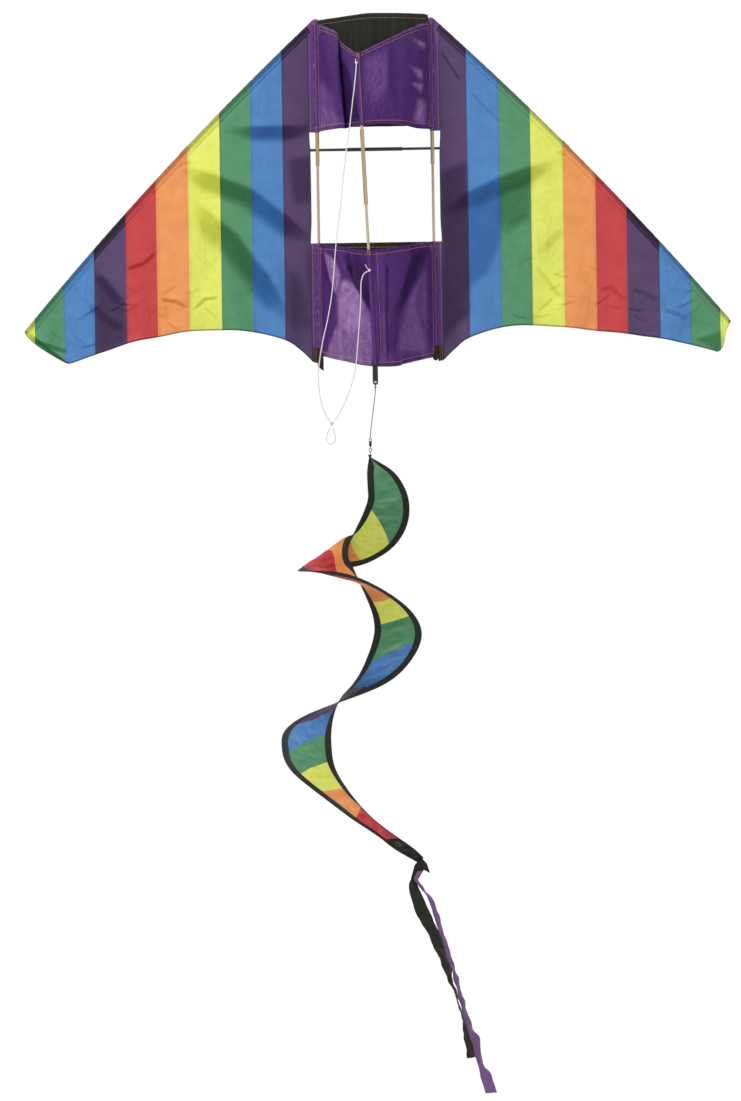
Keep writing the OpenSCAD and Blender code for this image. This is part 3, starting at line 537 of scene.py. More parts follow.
@dataclass(frozen=True)
class RipstopNylon:
    """Coated ripstop nylon: thin plain weave with a grid of thicker threads, soft gloss from its coating.

    Attributes:
        name: Name of the material.
        colours: One sRGB colour, or one for each stripe.
        edges: Place on the cloth in metres where each stripe but the first starts.
        span: Place in metres that the last stripe reaches.
        seam_pitch: Distance between seams in metres, or 0 for plain cloth.
        seam_from: Place of a seam in metres.
        shade: Share of the colour that is left in a doubled or shaded cloth.
        gloss: Roughness of the coating.
        hem_w: Width in metres of the painted shade along a hem, where the cloth is doubled.
        hem_shade: Share of the colour that the painted shade at such a hem takes away.
        hem_soft: Share of the hem's width over which it fades.
        crumple: Depth in metres of the small creases in the cloth.
        streak: True for creases that run down the cloth, with a painted sheen in streaks along them.
        glare: Colour of the painted highlight where a fold's painted tone is above 0.
        sheen: Strength of the coating's mirror part.
        deepen: How much richer the colour gets in the painted shade of a fold, as if light came through the
            cloth.
        handled: Strength of the painted shade in the straight crease lines that packing leaves.
    """

    name: str
    colours: tuple[str, ...]
    edges: tuple[float, ...] = ()
    span: float = 1.0
    seam_pitch: float = 0.0
    seam_from: float = 0.0
    shade: float = 1.0
    gloss: float = 0.46
    hem_w: float = 0.0
    hem_shade: float = 0.16
    hem_soft: float = 0.2
    crumple: float = 0.0008
    streak: bool = False
    glare: str = "#ffffff"
    sheen: float = 0.09
    deepen: float = 0.65
    handled: float = 0.0

    def build(self) -> Material:
        """Makes the material: colour by stripe, darker seams, painted shade at hems and in folds, painted
        highlight on folds, ripstop grid, creases.
        """
        material, tree, shader = start_material(self.name)
        cloth = add(tree, "UVMap", uv_map="Cloth")
        across, down = add(tree, "SeparateXYZ", [cloth]).outputs[:2]
        # The Hem map holds the distance from a hem and the painted tone: painted shade below 0, painted
        # highlight above 0
        hem, fold = add(tree, "SeparateXYZ", [add(tree, "UVMap", uv_map="Hem")]).outputs[:2]
        # The weave's thicker threads stand 6 mm apart, a little coarser than real so that they show
        waves = [add(tree, "Math", [way, 0.003], operation="PINGPONG") for way in (across, down)]
        threads = [add(tree, "MapRange", [wave, 0.0003, 0.0009, 1.0, 0.0]) for wave in waves]
        grid = add(tree, "Math", threads, operation="MAXIMUM")
        # Uneven dye and handling marks, about 40 mm across
        mottle = add(tree, "TexNoise", {"Vector": cloth, "Scale": 25.0, "Detail": 5.0, "Roughness": 0.6})
        # Small creases, about 14 mm apart, drawn out along the cloth where it was folded that way
        drawn = add(tree, "Mapping", {"Vector": cloth, "Scale": (110, 9, 1) if self.streak else (60, 60, 1)})
        crease = add(tree, "TexNoise", {"Vector": drawn, "Scale": 1.0, "Detail": 3.0, "Distortion": 0.7})
        tint = add(tree, "MapRange", [mottle, 0.3, 0.7, 0.90 * self.shade, 1.06 * self.shade])
        dark = add(tree, "Math", [grid, -0.02, tint], operation="MULTIPLY_ADD")
        level = add(tree, "Math", [grid, 0.16, crease], operation="MULTIPLY_ADD")
        # Painted sheen: the colour lighter and darker in streaks along the drawn-out creases
        if self.streak:
            band = add(tree, "MapRange", [crease, 0.32, 0.7, 0.72, 1.25])
            dark = add(tree, "Math", [dark, band], operation="MULTIPLY")
        # Marks of packing and of seams: where they are, what they add to the colour and to the height. The
        # packing creases' darker colour is painted shade.
        marks = []
        if self.handled:
            marks.append((self.packing_lines(tree, cloth), -self.handled, 0.9))
        if self.seam_pitch:
            shifted = add(tree, "Math", [across, self.seam_from], operation="SUBTRACT")
            near = add(tree, "Math", [shifted, self.seam_pitch / 2], operation="PINGPONG")
            marks.append((add(tree, "MapRange", [near, 0.0006, 0.0042, 1.0, 0.0]), -0.10, 0.7))
        for mark, paint, height in marks:
            dark = add(tree, "Math", [mark, paint, dark], operation="MULTIPLY_ADD")
            level = add(tree, "Math", [mark, height, level], operation="MULTIPLY_ADD")
        # Painted shade along a hem: the doubled cloth, the rolled trailing edge, and the fold over the spar
        if self.hem_w:
            doubled = add(tree, "MapRange", [hem, self.hem_w * (1 - self.hem_soft), self.hem_w, 1.0, 0.0])
            dark = add(tree, "Math", [doubled, -self.hem_shade, dark], operation="MULTIPLY_ADD")
        # Painted shade in the long folds, richer in colour as if the light came through the cloth
        shaded = add(tree, "MapRange", [fold, -1.0, 0.0, 0.7 * self.deepen, 1.0])
        rich = add(tree, "MapRange", [fold, -1.0, 0.0, 1.0 + self.deepen, 1.0])
        dark = add(tree, "Math", [dark, shaded], operation="MULTIPLY")
        dyed = add(tree, "Gamma", [self.dye(tree, across), rich])
        toned = add(tree, "VectorMath", {0: dyed, "Scale": dark}, operation="SCALE")
        # Painted highlight: paler, towards the glare colour, where a fold's painted tone is above 0, in
        # patches
        glare_patches = add(tree, "Math", [fold, crease], operation="MULTIPLY")
        caught = add(tree, "Math", [glare_patches, 1.1, 0.0], operation="MULTIPLY_ADD", use_clamp=True)
        kept = add(tree, "Math", [1.0, caught], operation="SUBTRACT")
        white = add(tree, "VectorMath", {0: linear(self.glare)[:3], "Scale": caught}, operation="SCALE")
        held = add(tree, "VectorMath", {0: toned, "Scale": kept}, operation="SCALE")
        final = add(tree, "VectorMath", [held, white], operation="ADD")
        bump = add(tree, "Bump", {"Height": level, "Distance": self.crumple, "Strength": 1.0})
        rough = add(tree, "MapRange", [mottle, 0.3, 0.7, self.gloss - 0.06, self.gloss + 0.08])
        fill(shader, {"Base Color": final, "Roughness": rough, "Normal": bump,
                      "Specular IOR Level": self.sheen})
        return material

    @staticmethod
    def packing_lines(tree: Tree, cloth: Node) -> Node:
        """Straight creases some 70 mm long that packing leaves in patches: edges of slanted cells."""
        slanted = add(tree, "Mapping", {"Vector": cloth, "Rotation": (0, 0, 0.5), "Scale": (24, 10, 1)})
        net = add(tree, "TexVoronoi", {"Vector": slanted, "Scale": 1.0}, feature="DISTANCE_TO_EDGE",
                  voronoi_dimensions="2D")
        thin = add(tree, "MapRange", [net, 0.0, 0.045, 1.0, 0.0])
        spots = add(tree, "TexNoise", {"Vector": cloth, "Scale": 8.0, "Detail": 1.0})
        patch = add(tree, "MapRange", [spots, 0.53, 0.66])
        return add(tree, "Math", [thin, patch], operation="MULTIPLY")

    def dye(self, tree: Tree, across: Socket) -> Node | tuple[float, ...]:
        """Colour of the cloth: one colour, or a ramp that steps to the next at each stripe's edge."""
        if len(self.colours) == 1:
            return linear(self.colours[0])
        ramp = add(tree, "ValToRGB", [add(tree, "Math", [across, 1 / self.span], operation="MULTIPLY")])
        ramp.color_ramp.interpolation = "CONSTANT"
        stops = ramp.color_ramp.elements
        while len(stops) < len(self.colours):
            stops.new(0.5)
        for stop, start, code in zip(stops, (0.0, *self.edges), self.colours):
            stop.position = start / self.span
            stop.color = linear(code)
        return ramp


@dataclass(frozen=True)
class Braid:
    """Braided or laid line: strands that cross at a slant, matte.

    Attributes:
        name: Name of the material.
        colour: Colour of the strands.
        shaded_gap: Colour between the strands, painted shade in the grooves.
        lay: Length in metres of one strand's turn.
        girth: Distance round the line in metres.
    """

    name: str
    colour: str
    shaded_gap: str
    lay: float
    girth: float

    def build(self) -> Material:
        """Makes the material: two sets of slanting strands over the line's own map, with painted shade
        between them.
        """
        material, tree, shader = start_material(self.name)
        across, along = add(tree, "SeparateXYZ", [add(tree, "UVMap", uv_map="Cloth")]).outputs[:2]
        turns = add(tree, "Math", [across, 4 / self.girth], operation="MULTIPLY")
        runs = add(tree, "Math", [along, 4 / self.lay], operation="MULTIPLY")
        slants = [add(tree, "Math", [runs, turns], operation=way) for way in ("ADD", "SUBTRACT")]
        strands = [add(tree, "Math", [slant, 0.5], operation="PINGPONG") for slant in slants]
        over = add(tree, "Math", strands, operation="MULTIPLY")
        level = add(tree, "MapRange", [over, 0.0, 0.18])
        # The strands' colour, and painted shade in the grooves between them
        tones = {"Factor": level, "A": linear(self.shaded_gap), "B": linear(self.colour)}
        mixed = add(tree, "Mix", tones, data_type="RGBA").outputs["Result"]
        bump = add(tree, "Bump", {"Height": level, "Distance": 0.0003, "Strength": 0.8})
        fill(shader, {"Base Color": mixed, "Normal": bump, "Roughness": 0.72, "Sheen Weight": 0.2})
        return material


@dataclass(frozen=True)
class Grained:
    """Rod, tube or moulded finish with marks along one direction, read from Object coordinates.

    Attributes:
        name: Name of the material.
        light: Colour of the pale marks.
        deep: Colour of the dark marks.
        scale: Marks to a metre along x, y and z.
        roughness: Lowest and highest roughness.
        metallic: 1 for bare metal.
        depth: Depth in metres of the marks.
        coat: Weight of a clear coat.
    """

    name: str
    light: str
    deep: str
    scale: tuple[float, float, float]
    roughness: tuple[float, float]
    metallic: float = 0.0
    depth: float = 0.00015
    coat: float = 0.0

    def build(self) -> Material:
        """Makes the material: noise drawn out along the grain gives colour, roughness and bump."""
        material, tree, shader = start_material(self.name)
        spot = add(tree, "TexCoord").outputs["Object"]
        drawn = add(tree, "Mapping", {"Vector": spot, "Scale": self.scale})
        grain = add(tree, "TexNoise", {"Vector": drawn, "Scale": 1.0, "Detail": 6.0, "Roughness": 0.62,
                                       "Distortion": 0.4})
        ramp = add(tree, "ValToRGB", [grain])
        for stop, position, code in zip(ramp.color_ramp.elements, (0.36, 0.64), (self.deep, self.light)):
            stop.position = position
            stop.color = linear(code)
        rough = add(tree, "MapRange", [grain, 0.3, 0.7, *self.roughness])
        bump = add(tree, "Bump", {"Height": grain, "Distance": self.depth})
        fill(shader, {"Base Color": ramp, "Roughness": rough, "Normal": bump, "Metallic": self.metallic,
                      "Coat Weight": self.coat})
        return material


def wing_colours() -> tuple[str, ...]:
    """Colours of a wing's ten stripes, from the longeron to the tip."""
    return tuple(RAINBOW[k % 6].value for k in range(10))


def wing_edges() -> tuple[float, ...]:
    """Places in metres where a wing's stripes change."""
    return (*((FIRST_SEAM + k * STRIPE_W) * MM for k in range(8)), 0.820)


def spiral_colours() -> tuple[str, ...]:
    """Colours of the spiral tail's stripes, from the top: to red, back to violet, and to red again."""
    first = [Stripes.GREEN, Stripes.YELLOW, Stripes.ORANGE, Stripes.RED, Stripes.ORANGE, Stripes.YELLOW]
    second = [Stripes.GREEN, Stripes.BLUE, Stripes.VIOLET, *RAINBOW[1:]]
    return tuple(stripe.value for stripe in first + second)


class Cabinet:
    """Holds each finish, built once."""

    def __init__(self) -> None:
        """Builds every material of the kite."""
        stripes = {"edges": wing_edges(), "span": 0.9, "seam_pitch": STRIPE_W * MM,
                   "seam_from": FIRST_SEAM * MM}
        black = "#2a2a26"
        # Thin coated nylon: matte to satin, with a faint square grid, shallow handling creases with painted
        # shade in them, and painted shade along the trailing edge's hem
        self.wing = RipstopNylon("striped ripstop nylon", wing_colours(), hem_w=0.0042, hem_shade=0.48,
                                 handled=0.07, **stripes).build()
        # The same cloth folded over the black spar: its violets darker, partly from the spar inside and
        # partly painted shade, and a painted shade band along the fold
        spar_dimmed_and_shaded = ("#463853", *wing_colours()[1:6], "#3a2e44", *wing_colours()[7:])
        self.edge = RipstopNylon("striped ripstop nylon over spar", spar_dimmed_and_shaded, hem_w=0.013, hem_shade=0.46,
                                 hem_soft=0.6, **stripes).build()
        # Heavier coated nylon of the box: glossier, with a painted lilac highlight where its folds' painted
        # tone is above 0 and painted shade at its doubled hems
        self.panel = RipstopNylon("purple coated nylon", ("#502c70",), gloss=0.36, hem_w=0.012, hem_shade=0.1,
                                  crumple=0.0011, glare="#b48cc0", sheen=0.07, deepen=0.25).build()
        # The same nylon wrapped round the keel
        self.keel = RipstopNylon("purple nylon keel sleeve", ("#56316f",), gloss=0.42).build()
        # Folded strips of the same nylon round the rods, stretched pale over them
        self.sleeve = RipstopNylon("purple nylon sleeve", ("#67427f",), gloss=0.42, crumple=0.0014).build()
        # Black coated nylon: a painted grey sheen in streaks down the cloth
        self.black = RipstopNylon("black coated nylon", (black,), gloss=0.42, streak=True).build()
        # Doubled black nylon patches, browner from dust
        self.patch = RipstopNylon("black nylon patch", ("#38302b",), gloss=0.6).build()
        # Spiral tail: each unit of its own map is one stripe, the last one the black gathered end
        self.spiral = RipstopNylon("striped ripstop nylon tail", (*spiral_colours(), black),
                                   tuple(k * MM for k in range(1, 15)), 15 * MM, gloss=0.44,
                                   sheen=0.04).build()
        # Bias tape bound over the tail's edges: close dark weave
        self.tape = RipstopNylon("dark bias tape", (black,), gloss=0.62, crumple=0.0006).build()
        # Thin ribbon nylon of the streamers
        self.ribbon = RipstopNylon("purple ribbon nylon", ("#7a5887",), gloss=0.42, crumple=0.0016).build()
        # Polyester sewing thread, twisted, tan
        self.thread = Grained("tan polyester thread", "#c79a6a", "#a87a4e", (900, 900, 900),
                              (0.55, 0.75)).build()
        # Braided polyester bridle line, white
        self.line = Braid("white braided polyester line", "#fbf9f7", "#d9d4d6", 0.010,
                          2.4 * math.pi * MM).build()
        # Braided black nylon cord of the tail
        self.cord = Braid("black braided nylon cord", "#2b2927", "#151413", 0.008,
                          1.8 * math.pi * MM).build()
        # Sanded ramin dowel: pale straight grain
        self.dowel = Grained("ramin dowel", "#c2b59c", "#a18f74", (420, 420, 9), (0.55, 0.72)).build()
        # Tinted aluminium tube: satin, drawn lengthwise
        self.ferrule = Grained("bronze tinted aluminium tube", "#b39c78", "#8c7757", (500, 500, 6),
                               (0.34, 0.5), metallic=0.55).build()
        # Pultruded fibreglass rod: black, glossy, with fine lines along it
        self.rod = Grained("black pultruded fibreglass", "#2e2e31", "#171719", (8, 600, 600), (0.28, 0.42),
                           coat=0.15).build()
        self.spar = Grained("black fibreglass spar", "#2a2a2d", "#161618", (90, 600, 90),
                            (0.3, 0.45)).build()
        # Dip moulded vinyl: soft, dull black
        self.vinyl = Grained("black moulded vinyl", "#2a2a2b", "#1c1c1d", (160, 160, 160), (0.5, 0.66),
                             depth=0.0001).build()
        # Blackened brass of the swivel, rubbed bright in places
        self.swivel = Grained("blackened brass", "#4a4640", "#222120", (260, 260, 260), (0.3, 0.5),
                              metallic=1.0).build()


@dataclass(frozen=True)
class Crease:
    """Fold in a sheet along a bent line: a crest at the line and a shaded valley on one side of it.

    Attributes:
        path: Points of the line, in the sheet's own two directions.
        rise: Height of the crest towards the viewer.
        width: Width of the valley on the line's shaded side.
        shade: Share of the colour that the valley loses at the crest's foot.
        soft: Width over which the crest is rounded.
        fade: Share of the line over which each end dies out.
    """

    path: tuple[tuple[float, float], ...]
    rise: float
    width: float
    shade: float = 0.0
    soft: float = 4.0
    fade: float = 0.2

    def measure(self, x: Array, y: Array) -> tuple[Array, Array]:
        """Signed distance from the nearest point of the line, and the share of the crest that is left there.

        Args:
            x: First place on the sheet.
            y: Second place on the sheet.

        Returns:
            Distance, above 0 on the shaded side, and a share that dies out at both ends of the line.
        """
        points = np.array(self.path, float)
        runs = np.diff(points, axis=0)
        lengths = np.linalg.norm(runs, axis=1)
        first = along_path(points)
        heads = runs / lengths[:, None]
        dx, dy = x[..., None] - points[:-1, 0], y[..., None] - points[:-1, 1]
        along = np.clip(dx * heads[:, 0] + dy * heads[:, 1], 0, lengths)
        away = np.hypot(dx - along * heads[:, 0], dy - along * heads[:, 1])
        side = np.where(dx * heads[:, 1] - dy * heads[:, 0] > 0, 1.0, -1.0)
        nearest = away.argmin(-1)[..., None]
        share = np.take_along_axis(first[:-1] + along, nearest, -1)[..., 0] / first[-1]
        signed = np.take_along_axis(away * side, nearest, -1)[..., 0]
        return signed, ease(share / self.fade) * ease((1 - share) / self.fade)

    def height(self, x: Array, y: Array) -> Array:
        """Height of the fold: an exponential crest at the line, steep on its shaded side, then a valley."""
        aside, left = self.measure(x, y)
        reach = np.where(aside > 0, 0.45 * self.width, self.width)
        crest = np.exp(-(np.sqrt(aside ** 2 + self.soft ** 2) - self.soft) / reach)
        return self.rise * left * (crest - 0.55 * bell(aside, 0.8 * self.width, 0.5 * self.width))

    def tone(self, x: Array, y: Array) -> Array:
        """Shade of the fold: full on the shaded side for half a width, gone after one width."""
        aside, left = self.measure(x, y)
        width = self.width * (0.35 + 0.65 * left)
        return -self.shade * left * ease(aside / self.soft + 0.5) * ease(1.9 - 1.9 * aside / width)


@dataclass(frozen=True)
class Facet:
    """Part of a sheet that lies turned to the light or away from it.

    Attributes:
        outline: Corners of a convex outline, in order round it.
        tone: Share by which it is darker, below 0, or caught by the light, above 0.
        soft: Width over which its sides fade.
    """

    outline: tuple[tuple[float, float], ...]
    tone: float
    soft: float = 12.0

    def mask(self, x: Array, y: Array) -> Array:
        """Tone at each place: the product of a soft step over every side of the outline."""
        corners = np.array(self.outline, float)
        after = np.roll(corners, -1, 0)
        way = np.sign(np.sum(corners[:, 0] * after[:, 1] - after[:, 0] * corners[:, 1]))
        heads = unit(after - corners) * way
        inside = heads[:, 0] * (y[..., None] - corners[:, 1]) - heads[:, 1] * (x[..., None] - corners[:, 0])
        return self.tone * ease(inside / self.soft + 0.5).prod(-1)


def keel_point(drop: Array) -> Array:
    """Points of the keel's axis at given drops below the nose line."""
    share = (np.asarray(drop, float) + KEEL_TOP[2]) / (KEEL_TOP[2] - KEEL_FOOT[2])
    return KEEL_TOP + share[..., None] * (KEEL_FOOT - KEEL_TOP)


def place(piece: Object, body: str, finish: Material, slot: str, nodes: list[str] = ()) -> Object:
    """Dresses a piece, lets it ride on a body, and hides the nodes of the frame that it stands for.

    Args:
        piece: The piece.
        body: Body of the frame that carries it.
        finish: Its material.
        slot: Name of a slot for its finish; not used.
        nodes: Nodes of the frame that it replaces.

    Returns:
        The piece.
    """
    piece.data.materials.clear()
    piece.data.materials.append(finish)
    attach(piece, body)
    if nodes:
        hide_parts(*nodes)
    log.info("%s rides on %s", piece.name, body)
    return piece


def hang_with_keel(piece: Object) -> Object:
    """Gives a front piece its own copy of its mesh."""
    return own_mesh(piece)


@dataclass
class Rods:
    """The rigid pieces of the frame, which keep their solids and get their finishes.

    Attributes:
        cabinet: Finishes.
    """

    cabinet: Cabinet

    def dress(self) -> None:
        """Gives each rigid node its finish."""
        c = self.cabinet
        finishes = {
            c.dowel: ["left_upper_longeron", "left_lower_longeron", "right_upper_longeron",
                      "right_lower_longeron", "keel_upper_rod", "keel_lower_rod"],
            c.ferrule: ["left_longeron_ferrule", "right_longeron_ferrule", "keel_ferrule"],
            c.spar: ["left_leading_edge_spar", "right_leading_edge_spar"],
            c.rod: ["left_spreader_rod", "right_spreader_rod", "spreader_ferrule"],
            c.vinyl: ["left_spar_cap", "right_spar_cap", "left_spreader_clip", "right_spreader_clip"],
            c.swivel: ["swivel_barrel", "swivel_stem"]}
        for finish, names in finishes.items():
            for name in names:
                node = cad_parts[name]
                for slot in node.material_slots:
                    slot.material = finish
                log.info("%s is finished in %s", name, finish.name)


@dataclass
class FrontPanel:
    """One of the four purple panels between a side longeron and the keel.

    Attributes:
        name: Name of the node it stands for.
        side: Side of the kite.
        cell: Cell that it belongs to.
        drops: Drop of the top and of the bottom edge at the longeron.
        top: Top edge from the longeron to the keel.
        bottom: Bottom edge from the longeron to the keel.
        creases: Folds, by x and z as the viewer sees them.
        facets: Parts with painted highlight or painted shade, by x and z.
        lumps: Height of the small wrinkles.
        seed: Number that fixes the wrinkles.
        tuck: Place across of a sewn tuck, as a fraction, or 0 for none.
        rows: Rows of points.
        columns: Columns of points.
        belly: How far the middle stands to the front.
        hem_w: Width of the doubled cloth at the top and bottom.
        hem_sewn: Distance of the hems' stitches from the edge.
        edge_sewn: Distance of the second row at the top of the upper cell.
    """

    name: str
    side: Side
    cell: str
    drops: tuple[float, float]
    top: list[tuple[float, float, float]]
    bottom: list[tuple[float, float, float]]
    creases: list[Crease] = field(default_factory=list)
    facets: list[Facet] = field(default_factory=list)
    lumps: float = 1.0
    seed: int = 1
    tuck: float = 0.0
    rows: int = 110
    columns: int = 150
    belly: float = 5.0
    hem_w: float = 12.5
    hem_sewn: float = 10.5
    edge_sewn: float = 3.0

    def edge(self, drop: float, middle: list[tuple[float, float, float]], keel_drop: float) -> Array:
        """Top or bottom edge: a smooth curve from the longeron's sleeve to the keel's.

        Args:
            drop: Drop at the longeron.
            middle: Points on the way.
            keel_drop: Drop at the keel.

        Returns:
            One point for each column.
        """
        first = (self.side.value * (HALF_BOX - 2.9), -5.0, -drop)
        last = (float(keel_point(keel_drop)[0]) + self.side.value * 3.7, 2.0 - BOX_DEPTH, -keel_drop)
        return curve_through([first, *middle, last], np.linspace(0, len(middle) + 1, self.columns))

    def sheet(self) -> Sheet:
        """Makes the cloth: both edges joined by straight lines, with a belly, folds and wrinkles on it."""
        top, bottom = map(self.edge, self.drops, (self.top, self.bottom), KEEL_DROPS[self.cell])
        v = np.linspace(0, 1, self.rows)[:, None]
        w = np.linspace(0, 1, self.columns)[None]
        grid = (1 - v[..., None]) * top + v[..., None] * bottom
        grid[..., 1] -= self.belly * np.sin(np.pi * v) * np.sin(np.pi * w)
        x, z = grid[..., 0], grid[..., 2]
        steps = np.linalg.norm(np.diff(grid, axis=1), axis=-1)
        across = np.pad(np.cumsum(steps, 1), ((0, 0), (1, 0)))
        length = np.linalg.norm(bottom - top, axis=-1)
        down = v * length
        hem = np.minimum(down, length - down)
        lumps = ripple(across, down * 0.4, 34, self.seed) + 0.5 * ripple(across, down, 13, self.seed + 9)
        height = sum(crease.height(x, z) for crease in self.creases) + self.lumps * lumps
        # Painted shade of the folds, and painted highlight or shade of the facets
        tone = sum(crease.tone(x, z) for crease in self.creases)
        tone = tone + sum(facet.mask(x, z) for facet in self.facets)
        hold = ease(np.minimum(across, across[:, -1:] - across) / 22)
        normal = sheet_normals(grid)
        grid = grid - np.sign(normal[..., 1:2]) * normal * (hold * height)[..., None]
        thick = 0.6 + 0.7 * ease((self.hem_w - hem) / 1.5)
        return Sheet(f"{self.name}_cloth", grid, spread(across, down), thick, hem, np.clip(tone, -0.75, 1.5))

    def build(self, cabinet: Cabinet) -> None:
        """Builds the panel and its stitched hems.

        Args:
            cabinet: Finishes.
        """
        sheet = self.sheet()
        piece = place(sheet.build(), "frame", cabinet.panel, "purple_ripstop", [self.name])
        insets = [self.hem_sewn, -self.hem_sewn] + [self.edge_sewn] * (self.cell == "upper")
        rows = np.array(insets) / sheet.cut[-1, :, 1].mean() % 1
        lines = [sheet.line(row, np.linspace(0.03, 0.985, 160)) for row in rows]
        # One row close to the longeron, a second turn where it starts and ends, and the tuck
        fall = np.linspace(0.02, 0.98, 120)
        lines.append(sheet.line(fall, 0.024))
        lines += [sheet.line(np.linspace(first, first + 0.07, 20), 0.05) for first in (0.02, 0.91)]
        if self.tuck:
            lines.append(sheet.line(fall, self.tuck))
        thread = stitches(f"{self.name}_stitches", lines)
        place(thread, "frame", cabinet.thread, "purple_ripstop")
        hang_with_keel(piece)
        hang_with_keel(thread)
        sheet.declare(piece, "stretched", [f"{self.side.word}_{self.cell}_sleeve_cloth"], [thread])


# The four front panels with the folds that the wind and the leaning keel give them
FRONT_PANELS = [
    FrontPanel(
        "upper_left_panel", Side.LEFT, "upper", (14, 274),
        top=[
            (-114, -66, -32), (-94, -112, -47), (-88, -121, -53), (-85, -119, -58),
            (-85.5, -112, -64), (-80, -113, -72), (-62, -142, -92)],
        bottom=[
            (-106, -74, -278), (-80, -129, -282), (-73, -139, -284), (-70, -136, -283),
            (-71, -128, -282), (-66, -129, -282), (-51, -158, -282)],
        creases=[
            Crease(((-84, -262), (-104, -226), (-136, -206)), 2.5, 22, 0.15),
            Crease(((-112, -60), (-106, -150), (-98, -268)), 2.0, 16, 0.12)],
        facets=[
            Facet(((-86, -104), (-78, -112), (-59, -151), (-39, -238), (-36, -276), (-68, -280),
                   (-84, -190)), -0.55, 7),
            Facet(((-128, -156), (-95, -184), (-88, -231), (-72, -272), (-132, -276)), 0.5, 26),
            Facet(((-122, -46), (-110, -50), (-104, -150), (-116, -150)), 0.04, 12)],
        lumps=0.8, seed=11),
    FrontPanel(
        "upper_right_panel", Side.RIGHT, "upper", (14, 272),
        top=[(99, -68, -34), (58, -124, -60), (10, -160, -88)],
        bottom=[(98, -62, -276), (66, -116, -275), (14, -160, -278)],
        creases=[
            Crease(((48, -268), (30, -170), (36, -70)), 4.0, 26, 0.12, 8),
            Crease(((96, -52), (90, -140), (74, -262)), 3.5, 22, 0.1, 8)],
        facets=[
            Facet(((-19, -128), (33, -105), (26, -195), (-2, -233), (-18, -205)), 0.26, 30),
            Facet(((48, -71), (84, -63), (79, -173), (61, -256), (37, -255), (32, -172)), 0.04, 26),
            Facet(((94, -66), (123, -70), (118, -86)), 1.0, 14),
            Facet(((84, -134), (114, -136), (110, -158)), 0.95, 14),
            Facet(((88, -172), (115, -168), (112, -190)), 0.9, 12),
            Facet(((104, -204), (121, -208), (120, -264), (92, -262)), 0.8, 18)],
        lumps=1.2, seed=21),
    FrontPanel(
        "lower_left_panel", Side.LEFT, "lower", (545, 811),
        top=[(-116, -74, -552), (-84, -142, -562), (-58, -142, -568)],
        bottom=[(-108, -82, -823), (-70, -140, -835), (-40, -170, -844)],
        creases=[
            Crease(((-3, -832), (-15, -725), (-42, -669), (-80, -600)), 5.0, 30, 0.34, 3, 0.1),
            Crease(((-124, -562), (-112, -625), (-96, -676)), 3.0, 14, 0.15, 3, 0.12),
            Crease(((-100, -812), (-84, -730), (-80, -650)), 2.5, 20, 0.1)],
        facets=[
            Facet(((-93, -677), (-80, -642), (-63, -647), (-42, -667), (-18, -723), (-10, -789),
                   (-17, -846), (-88, -833)), 0.62, 12),
            Facet(((-93, -677), (-80, -642), (-63, -647), (-42, -667), (-34, -720), (-60, -770),
                   (-84, -756)), 0.5, 26),
            Facet(((-127, -820), (-104, -760), (-88, -740), (-84, -832)), 0.6, 10),
            Facet(((-123, -566), (-99, -592), (-83, -631), (-94, -672), (-110, -630)), 1.0, 9),
            Facet(((-79, -583), (-24, -582), (-8, -648), (-15, -722), (-46, -668), (-74, -614)),
                  -0.26, 10)],
        lumps=1.0, seed=31),
    FrontPanel(
        "lower_right_panel", Side.RIGHT, "lower", (541, 818),
        top=[(105, -70, -550), (70, -114, -560), (42, -142, -566), (20, -164, -571)],
        bottom=[(102, -80, -829), (58, -124, -841), (50, -146, -846), (22, -172, -849)],
        creases=[
            Crease(((110, -560), (86, -640), (61, -692), (45, -736), (37, -835)),
                   3.5, 20, 0.4, 4, 0.12),
            Crease(((112, -800), (86, -700), (100, -620)), 2.5, 22, 0.1),
            Crease(((19, -846), (17, -720), (18, -590)), 2.5, 10, 0.4, 2.5, 0.15),
            Crease(((3, -846), (1, -760), (0, -640)), 1.5, 7, 0.45, 2.5, 0.2)],
        facets=[
            Facet(((58, -666), (85, -561), (126, -562), (69, -689), (49, -705)), -0.38, 12),
            Facet(((57, -732), (86, -649), (114, -608), (121, -705), (117, -811), (45, -809)),
                  0.3, 18),
            Facet(((0, -600), (40, -590), (50, -680), (30, -740), (6, -720)), 0.04, 22),
            Facet(((8, -720), (42, -730), (34, -840), (8, -842)), 0.16, 20)],
        lumps=1.0, seed=41, tuck=0.905)]


